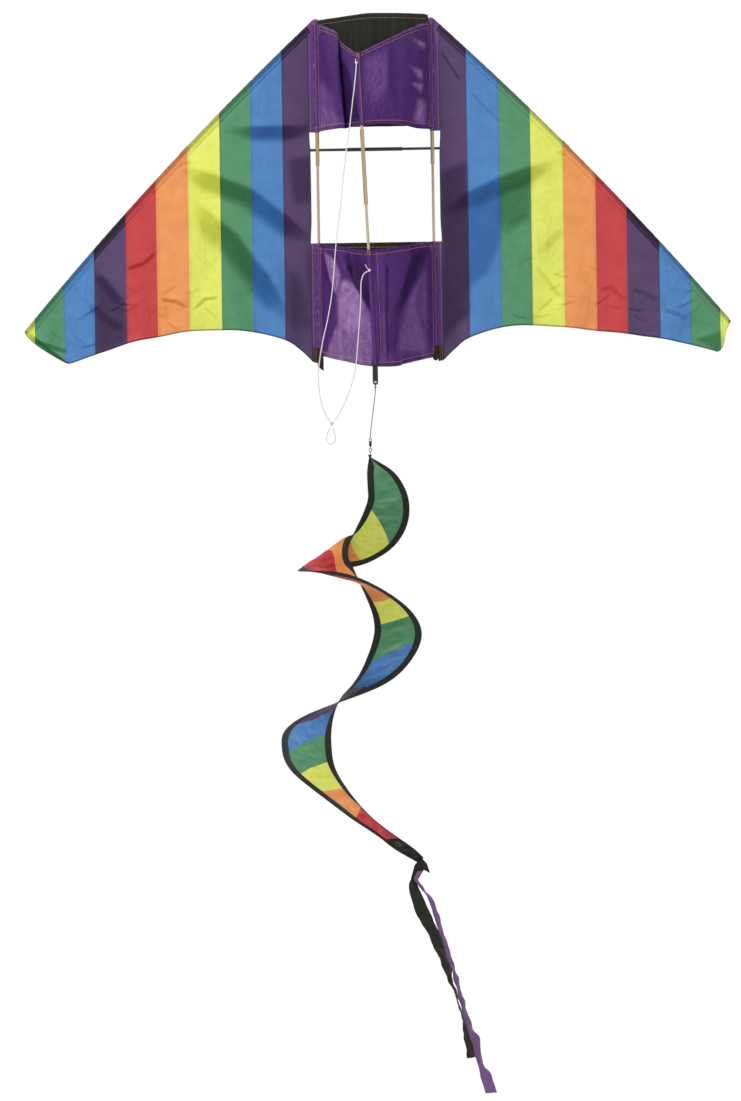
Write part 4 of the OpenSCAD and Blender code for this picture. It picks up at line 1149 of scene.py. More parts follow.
@dataclass
class BoxBody:
    """Cloth of the triangular box: sleeves, back panels, front panels and end pockets.

    Attributes:
        cabinet: Finishes.
        back_crown: Top edge of the upper back panel between the longerons, as x and z.
        back_short: How far the upper back panel stops short of its cell's foot.
        pocket_r: Radius of an end pocket.
        pocket_foot: Drop where a pocket's toe starts.
        toe: Length of the toe.
    """

    cabinet: Cabinet
    back_crown: tuple = ((-60, 4), (-12, 10), (60, 9), (122, 6))
    back_short: float = 12.0
    pocket_r: float = 6.9
    pocket_foot: float = 818.0
    toe: float = 8.6

    def sleeve(self, side: Side, cell: str) -> None:
        """Sleeve round a side longeron: a tube with puckers along its sewn edges, stitched round its ends.

        Args:
            side: Side of the kite.
            cell: Cell that it belongs to.
        """
        name = f"{side.word}_{cell}_sleeve"
        top, bottom = CELLS[cell]
        drop = np.linspace(top, bottom, 200)[:, None]
        angle = around(40)[None]
        seed = 40 + side.value + (5 if cell == "upper" else 0)
        pucker = 0.26 * ripple(angle * 9, drop, 13, seed) * (0.45 + 0.55 * np.abs(np.cos(angle)))
        r = SLEEVE_R - 0.5 + pucker + 0.2 * ease((4 - np.minimum(drop - top, bottom - drop)) / 2)
        points = spread(side.value * HALF_BOX + r * np.cos(angle), r * np.sin(angle), -drop)
        cloth = spread(np.linspace(0, 38, 41)[None], drop - top)
        piece = skin(f"{name}_cloth", points, cloth, Ends.ROUND)
        place(piece, "frame", self.cabinet.sleeve, "sleeve_ripstop", [name])
        turn = np.linspace(0, 2 * np.pi, 40)
        aim = spread(np.cos(turn), np.sin(turn), 0.0)
        lines = [(aim * (SLEEVE_R - 0.45) + [side.value * HALF_BOX, 0, -level], aim)
                 for level in (top + 4, top + 12, bottom - 12, bottom - 4)]
        thread = stitches(f"{name}_stitches", lines, 4.5)
        place(thread, "frame", self.cabinet.thread, "sleeve_ripstop")

    def back_panel(self, cell: str) -> None:
        """Back panel: a sheet between both longeron sleeves that bellies back, with streaky folds down it.

        Args:
            cell: Cell that it belongs to.
        """
        top, bottom = CELLS[cell]
        half = HALF_BOX - (SLEEVE_R + 5.2) / 2
        x = np.linspace(-half, half, 120)[None]
        v = np.linspace(0, 1, 90)[:, None]
        edge, seed = np.full_like(x, -top), 8
        if cell == "upper":
            bottom -= self.back_short
            edge, seed = np.interp(x, *zip((-half, -6), *self.back_crown, (half, 3))), 7
        length = edge + bottom
        z = edge - length * v
        hold = ease((half - np.abs(x)) / 30)
        back = 3.5 * np.sin(np.pi * v) * hold + 1.3 * hold * ripple(x, z * 0.12, 26, seed)
        hem = np.minimum(v * length, (1 - v) * length)
        thick = 0.6 + 0.6 * ease((12 - hem) / 1.5)
        sheet = Sheet(f"{cell}_back_cloth", spread(x, back, z), spread(x, -z), thick, hem)
        piece = place(sheet.build(), "frame", self.cabinet.black, "black_ripstop", [f"{cell}_back_panel"])
        run = np.linspace(0.01, 0.99, 120)
        lines = [sheet.line(row, run, front) for row in (0.042, 0.965) for front in (1.0, -1.0)]
        thread = stitches(f"{cell}_back_stitches", lines)
        place(thread, "frame", self.cabinet.thread, "black_ripstop")
        sheet.declare(piece, "stretched", [f"{side.word}_{cell}_sleeve_cloth" for side in Side], [thread])

    def end_pocket(self, side: Side) -> None:
        """Black pocket at a longeron's foot: a sock with a rounded toe, long and flat on the left.

        Args:
            side: Side of the kite.
        """
        name, foot = f"{side.word}_end_pocket", self.pocket_foot
        drop = np.append(np.linspace(POCKET_TOP, foot, 30), np.linspace(foot + 0.5, foot + 8.4, 14))[:, None]
        angle = around(40)[None]
        r = self.pocket_r + 0.18 * ripple(angle * 8, drop, 9, 60)
        level = drop
        if side is Side.LEFT:
            level = drop + (16 + 5 * np.cos(angle)) * ease((drop - 800) / 26)
        else:
            r = r * np.sqrt(np.maximum(1 - (np.maximum(drop - foot, 0) / self.toe) ** 2, 0.02))
        flat = 1 - 0.8 * ease((level - 825) / 12)
        points = spread(side.value * HALF_BOX + 1.02 * r * np.cos(angle), r * np.sin(angle) * flat, -level)
        cloth = spread(np.linspace(0, 44, 41)[None], drop - POCKET_TOP)
        piece = skin(f"{name}_cloth", points, cloth, Ends.ROUND)
        place(piece, "frame", self.cabinet.patch, "black_ripstop", [name])
        axis = spread(side.value * HALF_BOX, 0.0, -np.linspace(POCKET_TOP + 2, foot - 1, 20))
        lines = [row_down(axis, side.value * turn, self.pocket_r - 0.05) for turn in (-0.85, -0.5)]
        place(stitches(f"{name}_stitches", lines), "frame", self.cabinet.thread, "black_ripstop")

    def build(self) -> None:
        """Builds the box's cloth, the sleeves first."""
        for cell in CELLS:
            for side in Side:
                self.sleeve(side, cell)
            self.back_panel(cell)
        for side in Side:
            self.end_pocket(side)
        for panel in FRONT_PANELS:
            panel.build(self.cabinet)


@dataclass
class KeelTrim:
    """Cloth on the keel: its two sleeves, their seams, and the webbing tab for the tail.

    Attributes:
        cabinet: Finishes.
        sleeve_r: Radius of the sleeves.
        sewn_r: Distance of their stitches from the keel's axis.
        eye_r: Radius of the tab's eye.
        tab_half: Half of the tab's width, and the radius of its round end.
        tab_rise: Height of the tab above its eye.
        tab_depth: Half of the tab's thickness.
    """

    cabinet: Cabinet
    sleeve_r: float = 4.25
    sewn_r: float = 4.4
    eye_r: float = 2.5
    tab_half: float = 6.3
    tab_rise: float = 62.0
    tab_depth: float = 0.9

    def sleeve(self, cell: str) -> None:
        """Sleeve round the keel: a close tube with a lengthwise pucker, tacked at its top.

        Args:
            cell: Cell that it belongs to.
        """
        first, last = KEEL_SLEEVES[cell]
        drop = np.linspace(first, last, 160)[:, None]
        angle = around(32)[None]
        r = self.sleeve_r + 0.22 * ripple(angle * 7, drop, 12, 71)
        points = keel_point(drop) + spread(r * np.cos(angle), r * np.sin(angle), 0.0)
        cloth = spread(np.linspace(0, 28, 33)[None], drop - first)
        piece = skin(f"{cell}_keel_sleeve_cloth", points, cloth, Ends.ROUND)
        place(piece, "keel", self.cabinet.keel, "sleeve_ripstop", [f"{cell}_keel_sleeve"])
        tacked = keel_point(np.linspace(first + 3, first + 16, 8))
        lines = [row_down(tacked, turn, self.sewn_r) for turn in (-0.9, -0.3, 0.3, 0.9)]
        if cell == "upper":
            whole = keel_point(np.linspace(first + 2, last - 2, 90))
            lines.insert(0, row_down(whole, 0.5825, self.sewn_r))
        place(stitches(f"{cell}_keel_stitches", lines, 5.0), "keel", self.cabinet.thread, "sleeve_ripstop")

    def tab(self) -> None:
        """Tail tab: flat webbing with a round end about its eye, as rings from the eye out to its edge."""
        angle = around(96)
        aim = spread(np.cos(angle), np.sin(angle))
        to_side = self.tab_half / np.maximum(np.abs(aim[:, 0]), 1e-6)
        to_top = self.tab_rise / np.maximum(aim[:, 1], 1e-6)
        reach = np.where(aim[:, 1] > 0, np.minimum(to_side, to_top), self.tab_half)
        share = np.concatenate([np.linspace(0, 1, 14), [1.0], np.linspace(1, 0, 14)])[:, None]
        depth = self.tab_depth * np.repeat([-1.0, 0.0, 1.0], [14, 1, 14])[:, None]
        # Rounded rims at the eye and at the edge
        depth[[0, 13, 15, 28]] *= 0.7
        flat = (self.eye_r + (reach - self.eye_r) * share)[..., None] * aim
        points = TAIL_EYE + spread(flat[..., 0], depth, flat[..., 1])
        wrapped = np.concatenate([flat, flat[:, :1]], 1)
        piece = skin("tail_tab_webbing", points, np.concatenate([wrapped, wrapped[:1]]), Ends.LOOP)
        place(piece, "keel", self.cabinet.patch, "black_ripstop", ["tail_tab"])

    def build(self) -> None:
        """Builds both sleeves and the tab."""
        for cell in KEEL_SLEEVES:
            self.sleeve(cell)
        self.tab()


def edge_point(a: Array, b: Array) -> tuple[Array, Array]:
    """Distance from the middle and drop of a point, a along and b inwards from the leading edge."""
    turn = NOSE_TURN + a / EDGE_R
    return EDGE_CENTRE[0] + (EDGE_R - b) * np.sin(turn), EDGE_CENTRE[1] - (EDGE_R - b) * np.cos(turn)


def sail_top(x: Array) -> Array:
    """Drop of the sail's upper edge at distance x from the middle: the sleeve's inner edge."""
    inset = EDGE_SLEEVE_W - 17 * ease((x - 815) / 28)
    return EDGE_CENTRE[1] - np.sqrt((EDGE_R - inset) ** 2 - (x - EDGE_CENTRE[0]) ** 2)


@dataclass
class Wing:
    """A wing: its striped sail, leading edge sleeve, root hems and foot patch.

    Attributes:
        cabinet: Finishes.
        side: Side of the kite.
        trail: Trailing edge, as distance from the middle and drop.
        creases: Folds of the sail, in distance from the middle and drop.
        facets: Parts of the sail with painted shade, in distance from the middle and drop.
        seed: Number that fixes the wrinkles.
        columns: Columns of the sail's points.
        rows: Rows of the sail's points.
        start: Place along the leading edge where its sleeve starts.
        end: Place where the sleeve ends.
        crossing: Place where the spreader's clip sits.
        open_half: Half of the sleeve's middle length, which is open behind the clip.
        small: How many small creases the sail has.
        round_r: Radius of the leading edge sleeve round its spar.
        hem_in: Inner edge of the root hems, from the middle.
        patch_in: Inner edge of the foot patch, from the middle.
    """

    cabinet: Cabinet
    side: Side
    trail: list[tuple[float, float]]
    creases: list[Crease]
    facets: list[Facet]
    seed: int
    columns: int = 240
    rows: int = 180
    start: float = 28.0
    end: float = 1027.0
    crossing: float = 446.2
    open_half: float = 22.6
    small: int = 16
    round_r: float = 4.6
    hem_in: float = 144.9
    patch_in: float = 145.9

    def sail(self) -> Sheet:
        """Makes the sail: columns from the sleeve to the trailing edge, lifted by folds and wrinkles."""
        x = np.linspace(ROOT_X, 845.5, self.columns)[None]
        knots = np.array(self.trail)
        dense = curve_through(knots, np.linspace(0, len(knots) - 1, 400))
        top, bottom = sail_top(x), np.interp(x, *dense.T)
        drop = top + (bottom - top) * np.linspace(0, 1, self.rows)[:, None]
        from_sleeve, from_trail = (drop - top) * EDGE_DIR[0], bottom - drop
        hold = ease(from_sleeve / 60) * ease((x - ROOT_X) / 45)
        pinned = ease(from_sleeve / 14) * ease((x - ROOT_X) / 14)
        folds = self.creases + self.small_creases(knots)
        # Painted shade of the folds and of the facets
        tone = sum(fold.tone(x, drop) for fold in folds) + sum(facet.mask(x, drop) for facet in self.facets)
        # Flutes run up from the trailing edge
        flute = 7 * ease(1 - from_trail / 260) * np.sin(2 * np.pi * x / 118 + np.radians(drop * 0.4))
        lift = pinned * sum(fold.height(x, drop) for fold in folds) - hold * flute
        # Puckers stand along each seam and along the sleeve
        seam = np.abs((x - FIRST_SEAM + STRIPE_W / 2) % STRIPE_W - STRIPE_W / 2)
        lift += 0.35 * np.exp(-seam / 7) * np.sin(2 * np.pi * drop / 17 + x) * hold
        along = x * EDGE_DIR[0] + drop * EDGE_DIR[1]
        waves = np.sin(2 * np.pi * along / 21 + 2 * ripple(x, drop, 90, self.seed))
        lift += 0.55 * np.exp(-from_sleeve / 26) * waves * ease(from_sleeve / 5)
        # Small wrinkles are deepest near the trailing edge and the tip
        loose = ease(1 - from_trail / 150) * 1.1 + 0.25 + 0.9 * ease((x - 560) / 200)
        small = ripple(x, drop, 60, self.seed + 1) + 0.4 * ripple(x, drop, 22, self.seed + 2)
        lift += hold * loose * small
        # Between the two cells nothing holds the root, which is drawn in
        free = ease((drop - CELLS["upper"][1]) / 60) * ease((CELLS["lower"][0] - drop) / 60)
        bow = -2.5 * free * (1 - ease((x - ROOT_X) / 40))
        grid = spread(self.side.value * (x + bow), -lift, -drop)
        thick = 0.6 + 0.6 * ease((8 - from_trail) / 1.5)
        return Sheet(f"{self.side.word}_sail_cloth", grid, spread(x, drop), thick, from_trail,
                     np.clip(tone, -0.68, 0))

    def small_creases(self, trail: Array) -> list[Crease]:
        """Short creases near the trailing edge, at seeded places and slants.

        Args:
            trail: Points of the trailing edge.

        Returns:
            The creases.
        """
        draw = np.random.default_rng(self.seed + 20)
        x = np.sort(draw.uniform(290, 800, self.small))
        drop = np.interp(x, *trail.T) - draw.uniform(14, 150, self.small)
        slant = draw.uniform(-0.9, 0.6, self.small)
        bend = draw.uniform(-0.35, 0.35, self.small)
        length = draw.uniform(14, 32, self.small)
        shade = draw.uniform(0.08, 0.22, self.small)
        run = spread(length, slant * length)
        middle = spread(x, drop + bend * length)
        paths = np.stack([middle + run, middle + [0, 3], middle - run], 1)
        return [Crease(tuple(map(tuple, path)), 1.4, 7, depth, 2.5, 0.3)
                for path, depth in zip(paths.tolist(), shade.tolist())]

    def edge_sleeve(self) -> Object:
        """Leading edge sleeve: a round tube that narrows to a flap, along the edge, open behind the clip."""
        word, clip, half, flap = self.side.word, self.crossing, self.open_half, EDGE_SLEEVE_W - 3
        # Three lengths, the last with a rounded toe
        a = np.concatenate([np.linspace(self.start, clip - half - 1.2, 180),
                            clip + np.linspace(-half, half, 24),
                            np.linspace(clip + half + 1.2, self.end - 7, 272),
                            self.end - 7 * np.linspace(0.9, 0, 8) ** 2])[:, None]
        turn = np.radians(np.linspace(38, 322, 25))
        out = np.concatenate([[EDGE_SLEEVE_W - SPAR_INSET, flap - SPAR_INSET], self.round_r * np.cos(turn),
                              [flap - SPAR_INSET, EDGE_SLEEVE_W - SPAR_INSET]])
        deep = np.concatenate([[0.7, 0.75], self.round_r * np.sin(turn), [-0.75, -0.7]])
        held = np.concatenate([[0, 0.3], np.ones(25), [0.3, 0]])
        inwards = SPAR_INSET + out
        pucker = 0.34 * held * ripple(a, inwards * 1.3 + 9 * np.sign(deep), 15, self.seed + 5)
        toe = np.sqrt(np.clip((self.end + 0.4 - a) / 7.4, 0, 1))
        out, deep = ((way + pucker * np.clip(way / self.round_r, -1, 1)) * toe for way in (out, deep))
        deep = np.where(np.abs(a - clip) < half + 0.3, np.minimum(deep, -0.7), deep)
        x, drop = edge_point(a, SPAR_INSET + out)
        cloth = spread(x, drop)
        # Distance inwards from the fold, which carries the painted shade along the spar; no painted fold
        # tone
        hem = spread(np.append(inwards, inwards[0])[None], 0 * a)
        piece = skin(f"{word}_edge_sleeve_cloth", spread(self.side.value * x, deep, -drop),
                     np.concatenate([cloth, cloth[:, :1]], 1), Ends.ROUND, hem)
        node = f"{word}_leading_edge_sleeve"
        return place(piece, f"{word}_wing", self.cabinet.edge, "wing_ripstop", [node])

    def root_strip(self, name: str, outline: list[tuple[float, float, float]], rows: int,
                   puckers: float) -> tuple[Sheet, Object]:
        """Flat strip beside the longeron, with a cuff that laps the longeron's outer side.

        Args:
            name: Name of the piece.
            outline: Drop, inner and outer distance from the middle, from the top down.
            rows: Rows of points.
            puckers: Height of the puckers along its seams.

        Returns:
            The sheet and the bare piece.
        """
        knots = np.array(outline)
        drop = np.linspace(knots[0, 0], knots[-1, 0], rows)[:, None]
        inner, outer = (np.interp(drop, knots[:, 0], knots[:, k]) for k in (1, 2))
        share = np.linspace(0, 1, 14)[None]
        x = inner + (outer - inner) * share
        y = puckers * ripple(x * 2.2, drop, 12, self.seed + 7) * np.sin(np.pi * share)
        sheet = Sheet(name, spread(self.side.value * x, y, -drop), spread(x, drop), 1.0)
        turn = np.radians(np.linspace(-30, 30, 9))[None]
        r = knots[0, 1] - HALF_BOX + 0.1
        lap = spread(self.side.value * (HALF_BOX + r * np.cos(turn)), r * np.sin(turn), -drop)
        cuff = Sheet(f"{name}_cuff", lap, spread(144 + 7 * turn, drop), 0.9)
        return sheet, join(name, [sheet.build(), cuff.build()])

    def build(self) -> None:
        """Builds the sail and the pieces sewn to it."""
        word, body, cabinet = self.side.word, f"{self.side.word}_wing", self.cabinet
        sheet = self.sail()
        sail = place(sheet.build(), body, cabinet.wing, "wing_ripstop", [f"{word}_wing_sail"])
        sleeve = self.edge_sleeve()
        inner, patch_in = self.hem_in, self.patch_in
        top = float(sail_top(np.array(ROOT_X)))
        upper_outline = [(6, inner, 146), (20, inner, 161), (34, inner, 149), (top, inner, ROOT_X),
                         (CELLS["upper"][1], inner, ROOT_X)]
        lower_outline = [(CELLS["lower"][0], inner, ROOT_X), (POCKET_TOP, inner, ROOT_X)]
        foot_outline = [(POCKET_TOP, patch_in, ROOT_X), (826, patch_in, ROOT_X), (828, patch_in, 147)]
        upper, upper_piece = self.root_strip(f"{word}_upper_hem_cloth", upper_outline, 150, 0.5)
        lower, lower_piece = self.root_strip(f"{word}_lower_hem_cloth", lower_outline, 150, 0.5)
        patch, patch_piece = self.root_strip(f"{word}_foot_patch_cloth", foot_outline, 30, 0.15)
        place(upper_piece, body, cabinet.sleeve, "sleeve_ripstop", [f"{word}_upper_root_hem"])
        place(lower_piece, body, cabinet.sleeve, "sleeve_ripstop", [f"{word}_lower_root_hem"])
        place(patch_piece, body, cabinet.patch, "black_ripstop", [f"{word}_root_patch"])
        run = np.linspace(0.02, 0.98, 200)
        sewn = ((upper, 0.72), (lower, 0.72), (patch, 0.25), (patch, 0.75))
        lines = [strip.line(run, column, front) for strip, column in sewn for front in (1.0, -1.0)]
        thread = place(stitches(f"{word}_hem_stitches", lines), body, cabinet.thread, "sleeve_ripstop")
        trims = [sleeve, upper_piece, lower_piece, patch_piece, thread]
        sheet.declare(sail, "stretched", [sleeve.name], trims)


# Trailing edges, folds and parts with painted shade of both wings
WINGS = {
    Side.LEFT: dict(
        trail=[
            (157, 825), (184, 798), (221, 773), (296, 752), (371, 746), (452, 748), (527, 760),
            (602, 775), (694, 806), (735, 819), (746, 820), (757, 815), (784, 799), (816, 778),
            (838, 758), (846, 748)],
        creases=[
            Crease(((478, 343), (449, 353), (378, 376), (298, 408), (219, 470), (140, 540)),
                   9, 58, 0.5, 12, 0.24),
            Crease(((450, 410), (413, 448), (376, 484), (333, 517), (292, 576), (259, 615),
                    (222, 690), (205, 740)), 8, 70, 0.5, 16, 0.28),
            Crease(((372, 262), (296, 258), (120, 259)), 5, 44, 0.52, 9, 0.4),
            Crease(((525, 665), (483, 671), (450, 690)), 2.5, 11, 0.34, 3),
            Crease(((445, 695), (416, 667), (378, 663)), 2.5, 10, 0.34, 3),
            Crease(((605, 593), (562, 579), (528, 551)), 2.5, 12, 0.3, 3),
            Crease(((671, 596), (643, 625), (606, 678)), 3.5, 30, 0.22, 8),
            Crease(((690, 672), (655, 700), (604, 735)), 3.0, 26, 0.2, 8),
            Crease(((478, 344), (440, 336)), 2, 10, 0.25, 4),
            Crease(((845, 752), (790, 772), (735, 790)), 3, 14, 0.3)],
        facets=[
            Facet(((206, 338), (155, 334), (155, 440), (196, 447)), -0.3, 24),
            Facet(((674, 600), (606, 672), (604, 770), (676, 795)), -0.24, 24),
            Facet(((211, 608), (183, 623), (157, 742), (208, 745)), -0.2, 26),
            Facet(((850, 744), (746, 828), (745, 818), (842, 739)), -0.6, 4)],
        seed=101),
    Side.RIGHT: dict(
        trail=[
            (157, 826), (185, 799), (219, 774), (295, 750), (370, 746), (450, 752), (531, 762),
            (606, 771), (681, 783), (758, 800), (802, 813), (816, 816), (828, 803), (833, 782),
            (838, 762), (846, 748)],
        creases=[
            Crease(((457, 341), (414, 352), (375, 364), (297, 390), (222, 424), (150, 478)),
                   10, 50, 0.48, 14, 0.32),
            Crease(((450, 505), (411, 540), (379, 575)), 2.5, 26, 0.16, 8),
            Crease(((373, 470), (334, 489), (295, 517)), 3, 26, 0.16, 8),
            Crease(((333, 609), (362, 592), (391, 584)), 2.5, 12, 0.15, 3),
            Crease(((447, 683), (416, 640), (381, 595)), 2.5, 14, 0.2, 3),
            Crease(((601, 691), (563, 651), (529, 660)), 2.5, 14, 0.14, 4),
            Crease(((678, 687), (645, 668), (611, 657)), 2.5, 14, 0.14, 4),
            Crease(((750, 736), (718, 718), (683, 706)), 2.5, 14, 0.18, 4),
            Crease(((477, 337), (429, 326)), 2, 10, 0.25, 4),
            Crease(((214, 162), (186, 118), (160, 75)), 1.5, 7, 0.3, 2.0),
            Crease(((312, 262), (262, 214), (226, 172)), 1.2, 6, 0.16, 2.0)],
        facets=[
            Facet(((157, 375), (218, 352), (222, 710), (157, 780)), -0.36, 26),
            Facet(((220, 455), (300, 430), (300, 545), (262, 625), (220, 650)), -0.32, 26),
            Facet(((296, 420), (374, 396), (372, 470), (334, 500), (296, 508)), -0.32, 22),
            Facet(((764, 785), (827, 766), (831, 805), (811, 814)), -0.3, 12)],
        seed=201)}


def knot(name: str, middle: Array, radius: float, strand: float) -> Object:
    """Overhand knot: a tube along a trefoil curve.

    Args:
        name: Name of the piece.
        middle: Middle of the knot.
        radius: Half of its width.
        strand: Radius of the line.

    Returns:
        The knot.
    """
    t = around(90)
    trefoil = spread(np.sin(t) + 2 * np.sin(2 * t), -1.4 * np.sin(3 * t), np.cos(t) - 2 * np.cos(2 * t)) / 3
    return tube(name, np.asarray(middle, float) + trefoil * (radius - strand), strand, 10, Ends.LOOP)


@dataclass
class Bridle:
    """Bridle: two legs from the keel to a knot, and the tow loop below it.

    Attributes:
        cabinet: Finishes.
        diameter: Diameter of the line.
        upper: Route of the upper leg, as x and z in the bridle's plane.
        lower: Route of the lower leg.
        loop: Route of the tow loop.
        ends: Loose ends of the two keel knots, each from its knot outwards.
    """

    cabinet: Cabinet
    diameter: float = 2.4
    upper: tuple = (
        (-41, -140), (-42, -156), (-46, -190), (-52, -235), (-60, -295), (-68, -345), (-75, -400),
        (-82, -460), (-89, -515), (-96, -570), (-101, -625), (-107, -680), (-117, -735), (-129, -785),
        (-137, -828), (-141, -868), (-140, -905), (-134, -938), (-125, -962), (-116, -976))
    lower: tuple = (
        (-18, -626), (-27, -629), (-34, -638), (-38, -655), (-39, -686), (-41, -719), (-44, -752),
        (-47, -786), (-50, -820), (-53, -846), (-59, -874), (-67, -900), (-78, -928), (-90, -952),
        (-98, -966), (-106, -976))
    loop: tuple = (
        (-112, -983), (-116, -992), (-121, -1002), (-124, -1013), (-123, -1023), (-117, -1029),
        (-110, -1029), (-105, -1023), (-104, -1013), (-106, -1002), (-109, -991))
    ends: tuple = (
        ((-41, BRIDLE_Y, -137), (-43, BRIDLE_Y - 1, -133), (-42, BRIDLE_Y, -129.5)),
        ((-19, BRIDLE_Y, -623), (-24, BRIDLE_Y - 1, -618), (-27, BRIDLE_Y, -610)))

    def line(self, name: str, points: tuple, count: int, node: str, tow: Object) -> None:
        """Free line of the bridle: a tube along a smooth route with even steps.

        Args:
            name: Name of the piece.
            points: Points of its route.
            count: How many steps it has.
            node: Node that it stands for.
            tow: Knot at its far end; not used.
        """
        spots = np.array([(x, BRIDLE_Y, z) for x, z in points], float)
        path = even_path(curve_through(spots, np.linspace(0, len(spots) - 1, 600)), count)
        piece = tube(name, path, self.diameter / 2, 12)
        place(piece, "bridle", self.cabinet.line, "bridle_line", [node])

    def build(self) -> None:
        """Builds the knots, then the legs and the loop, which are free cords."""
        tails = [tube("knot_end", curve_through(spots, np.linspace(0, 2, 20)), 0.85, 8)
                 for spots in self.ends]
        knots = join("bridle_knots_tied", [knot("upper_knot", (-41, BRIDLE_Y, -138), 3.6, 1.2),
                                           knot("lower_knot", (-18, BRIDLE_Y, -624), 3.6, 1.2), *tails])
        place(knots, "bridle", self.cabinet.line, "bridle_line", ["bridle_knots"])
        tow = knot("tow_knot_tied", (-111, BRIDLE_Y, -981), 5.2, 1.3)
        place(tow, "bridle", self.cabinet.line, "bridle_line")
        self.line("upper_bridle_line", self.upper, 200, "upper_bridle_leg", tow)
        self.line("lower_bridle_line", self.lower, 120, "lower_bridle_leg", tow)
        self.line("tow_loop_line", self.loop, 60, "tow_loop", tow)


@dataclass
class SpinTail:
    """Spinning tail: hitch, line, top knot, spiral sail with bound edges, and the gathered end.

    Attributes:
        cabinet: Finishes.
        turns: Turn angle, place of the middle, then radius and drop of the inner and of the outer edge.
        stripes: Turn angle at the inner and at the outer edge where each stripe ends.
        away: Turn angle, spread and depth of the painted shade where the band is turned from the lamp.
        wedge_step: Place in turns where the seams of the first red piece meet.
        wedge: Share of the width at which they meet.
        edging_w: Width of the bound edges.
        columns: Columns of the sail's points.
        cord_r: Radius of the tail's cord.
        route: Route of the tail line, as x and z.
        end_outline: Outline of the gathered end about the spiral's last point.
    """

    cabinet: Cabinet
    turns: tuple = (
        (-14, -68, 44, 1060, 48, 1062), (-8, -68, 38, 1095, 100, 1097), (0, -68, 38, 1130, 128, 1143),
        (12, -68, 39, 1160, 138, 1192), (35, -68, 30, 1198, 140, 1250),
        (60, -68, 20, 1228, 138, 1292), (90, -68, 14, 1250, 134, 1318),
        (135, -68, 11, 1266, 130, 1320), (180, -68, 10, 1278, 128, 1316),
        (225, -68, 14, 1296, 132, 1322), (270, -67, 22, 1320, 140, 1338),
        (315, -66, 38, 1384, 150, 1398), (360, -66, 47, 1464, 157, 1480),
        (395, -80, 47, 1542, 160, 1553), (425, -92, 48, 1594, 155, 1602),
        (450, -103, 40, 1630, 148, 1638), (495, -106, 25, 1694, 146, 1682),
        (540, -105, 19, 1742, 136, 1732), (585, -98, 26, 1788, 140, 1806),
        (630, -75, 44, 1854, 100, 1902), (675, -40, 92, 1946, 66, 1966), (712, 0, 88, 2001, 76, 2013))
    stripes: tuple = (
        (18, 45), (97, 80), (191, 108), (192, 285), (322, 308), (352, 335), (392, 367), (430, 425),
        (458, 500), (508, 552), (570, 580), (612, 600), (640, 632), (676, 668), (760, 760))
    away: tuple = ((110, 30, 0.3), (215, 40, 0.25), (302, 18, 0.22), (428, 16, 0.4), (455, 26, 0.5))
    wedge_step: float = 8.25
    wedge: float = 0.22
    edging_w: float = 14.5
    columns: int = 34
    cord_r: float = 0.9
    route: tuple = (
        (-8, -896.4), (-9, -910), (-11, -928), (-14, -950), (-17, -972), (-20, -994), (-22, -1015),
        (-22, -1017.4))
    end_outline: tuple = (
        (-8, -2), (2, 6), (14, -8), (21, -30), (6, -22), (-7, -43), (-25, -44), (-16, -12))

    def spiral(self) -> tuple[Array, Array, Array]:
        """Rows of turns, and the shares of the width that the inner and the outer edging take."""
        even = np.linspace(0, len(self.turns) - 1, 520)
        steps = np.sort(np.append(even, [self.wedge_step - 1e-4, self.wedge_step + 1e-4]))
        rows = curve_through(self.turns, steps)
        wide = np.linalg.norm(np.diff(self.point(rows, np.array([0.0, 1.0])), axis=1), axis=-1)
        taken = np.minimum(0.34, self.edging_w / wide)
        last = ease((rows[:, :1] - 618) / 26)
        return rows, taken * (1 - 0.8 * last), taken * (1 - 0.4 * last)

    @staticmethod
    def point(rows: Array, share: Array) -> Array:
        """Points of the spiral: each row's circle at a share of the way between its edges, bowed.

        Args:
            rows: Rows of turns.
            share: Share across the band, the same for all rows or one line for each.

        Returns:
            Points, rows by shares by 3.
        """
        turn, middle, inner, inner_drop, outer, outer_drop = rows.T[..., None]
        r = inner + (outer - inner) * share
        drop = inner_drop + (outer_drop - inner_drop) * share
        # The first turn bows up, then down, and the outer edge hangs where the band turns to the front
        drop = drop - 67.6 * bell(turn, 120, 50) * np.sqrt(np.clip(share, 0, 1)) * (1 - share)
        drop = drop + 96 * bell(turn, 250, 50) * share * (1 - share)
        drop = drop + (9 * bell(turn, 192, 34) + 12 * bell(turn, 415, 26)) * ease((share - 0.78) / 0.22)
        angle = np.radians(turn)
        return spread(middle + r * np.cos(angle), r * np.sin(angle) - BOX_DEPTH, -drop)

    def stripe_map(self, rows: Array, line: Array) -> Array:
        """Stripe that each point lies in: straight seams across the band, and the first red piece a wedge.

        Args:
            rows: Rows of turns.
            line: Place of each column across the sail, from 0 to 1.

        Returns:
            Number of the stripe and the share of it that is past, rows by columns.
        """
        inner, outer = np.array([(-60, -60), *self.stripes], float).T[..., None]
        count = np.arange(len(inner))
        seams = inner + (outer - inner) * line
        # The wedge's seams meet between the two closest rows, before the inner edge
        meet = rows[np.diff(rows[:, 0]).argmin():, 0][:2].mean()
        past = np.sqrt(np.clip((line - self.wedge) / (1 - self.wedge), 0, 1))
        seams[3:5] = meet + (outer[3:5] - meet) * past
        seams += 1e-4 * count[:, None]
        stripe = np.stack([np.interp(rows[:, 0], seam, count) for seam in seams.T], -1)
        beside = np.where(rows[:, :1] < meet, np.minimum(stripe, 2.9), np.maximum(stripe, 4.1))
        return np.where(line < self.wedge, beside, stripe)

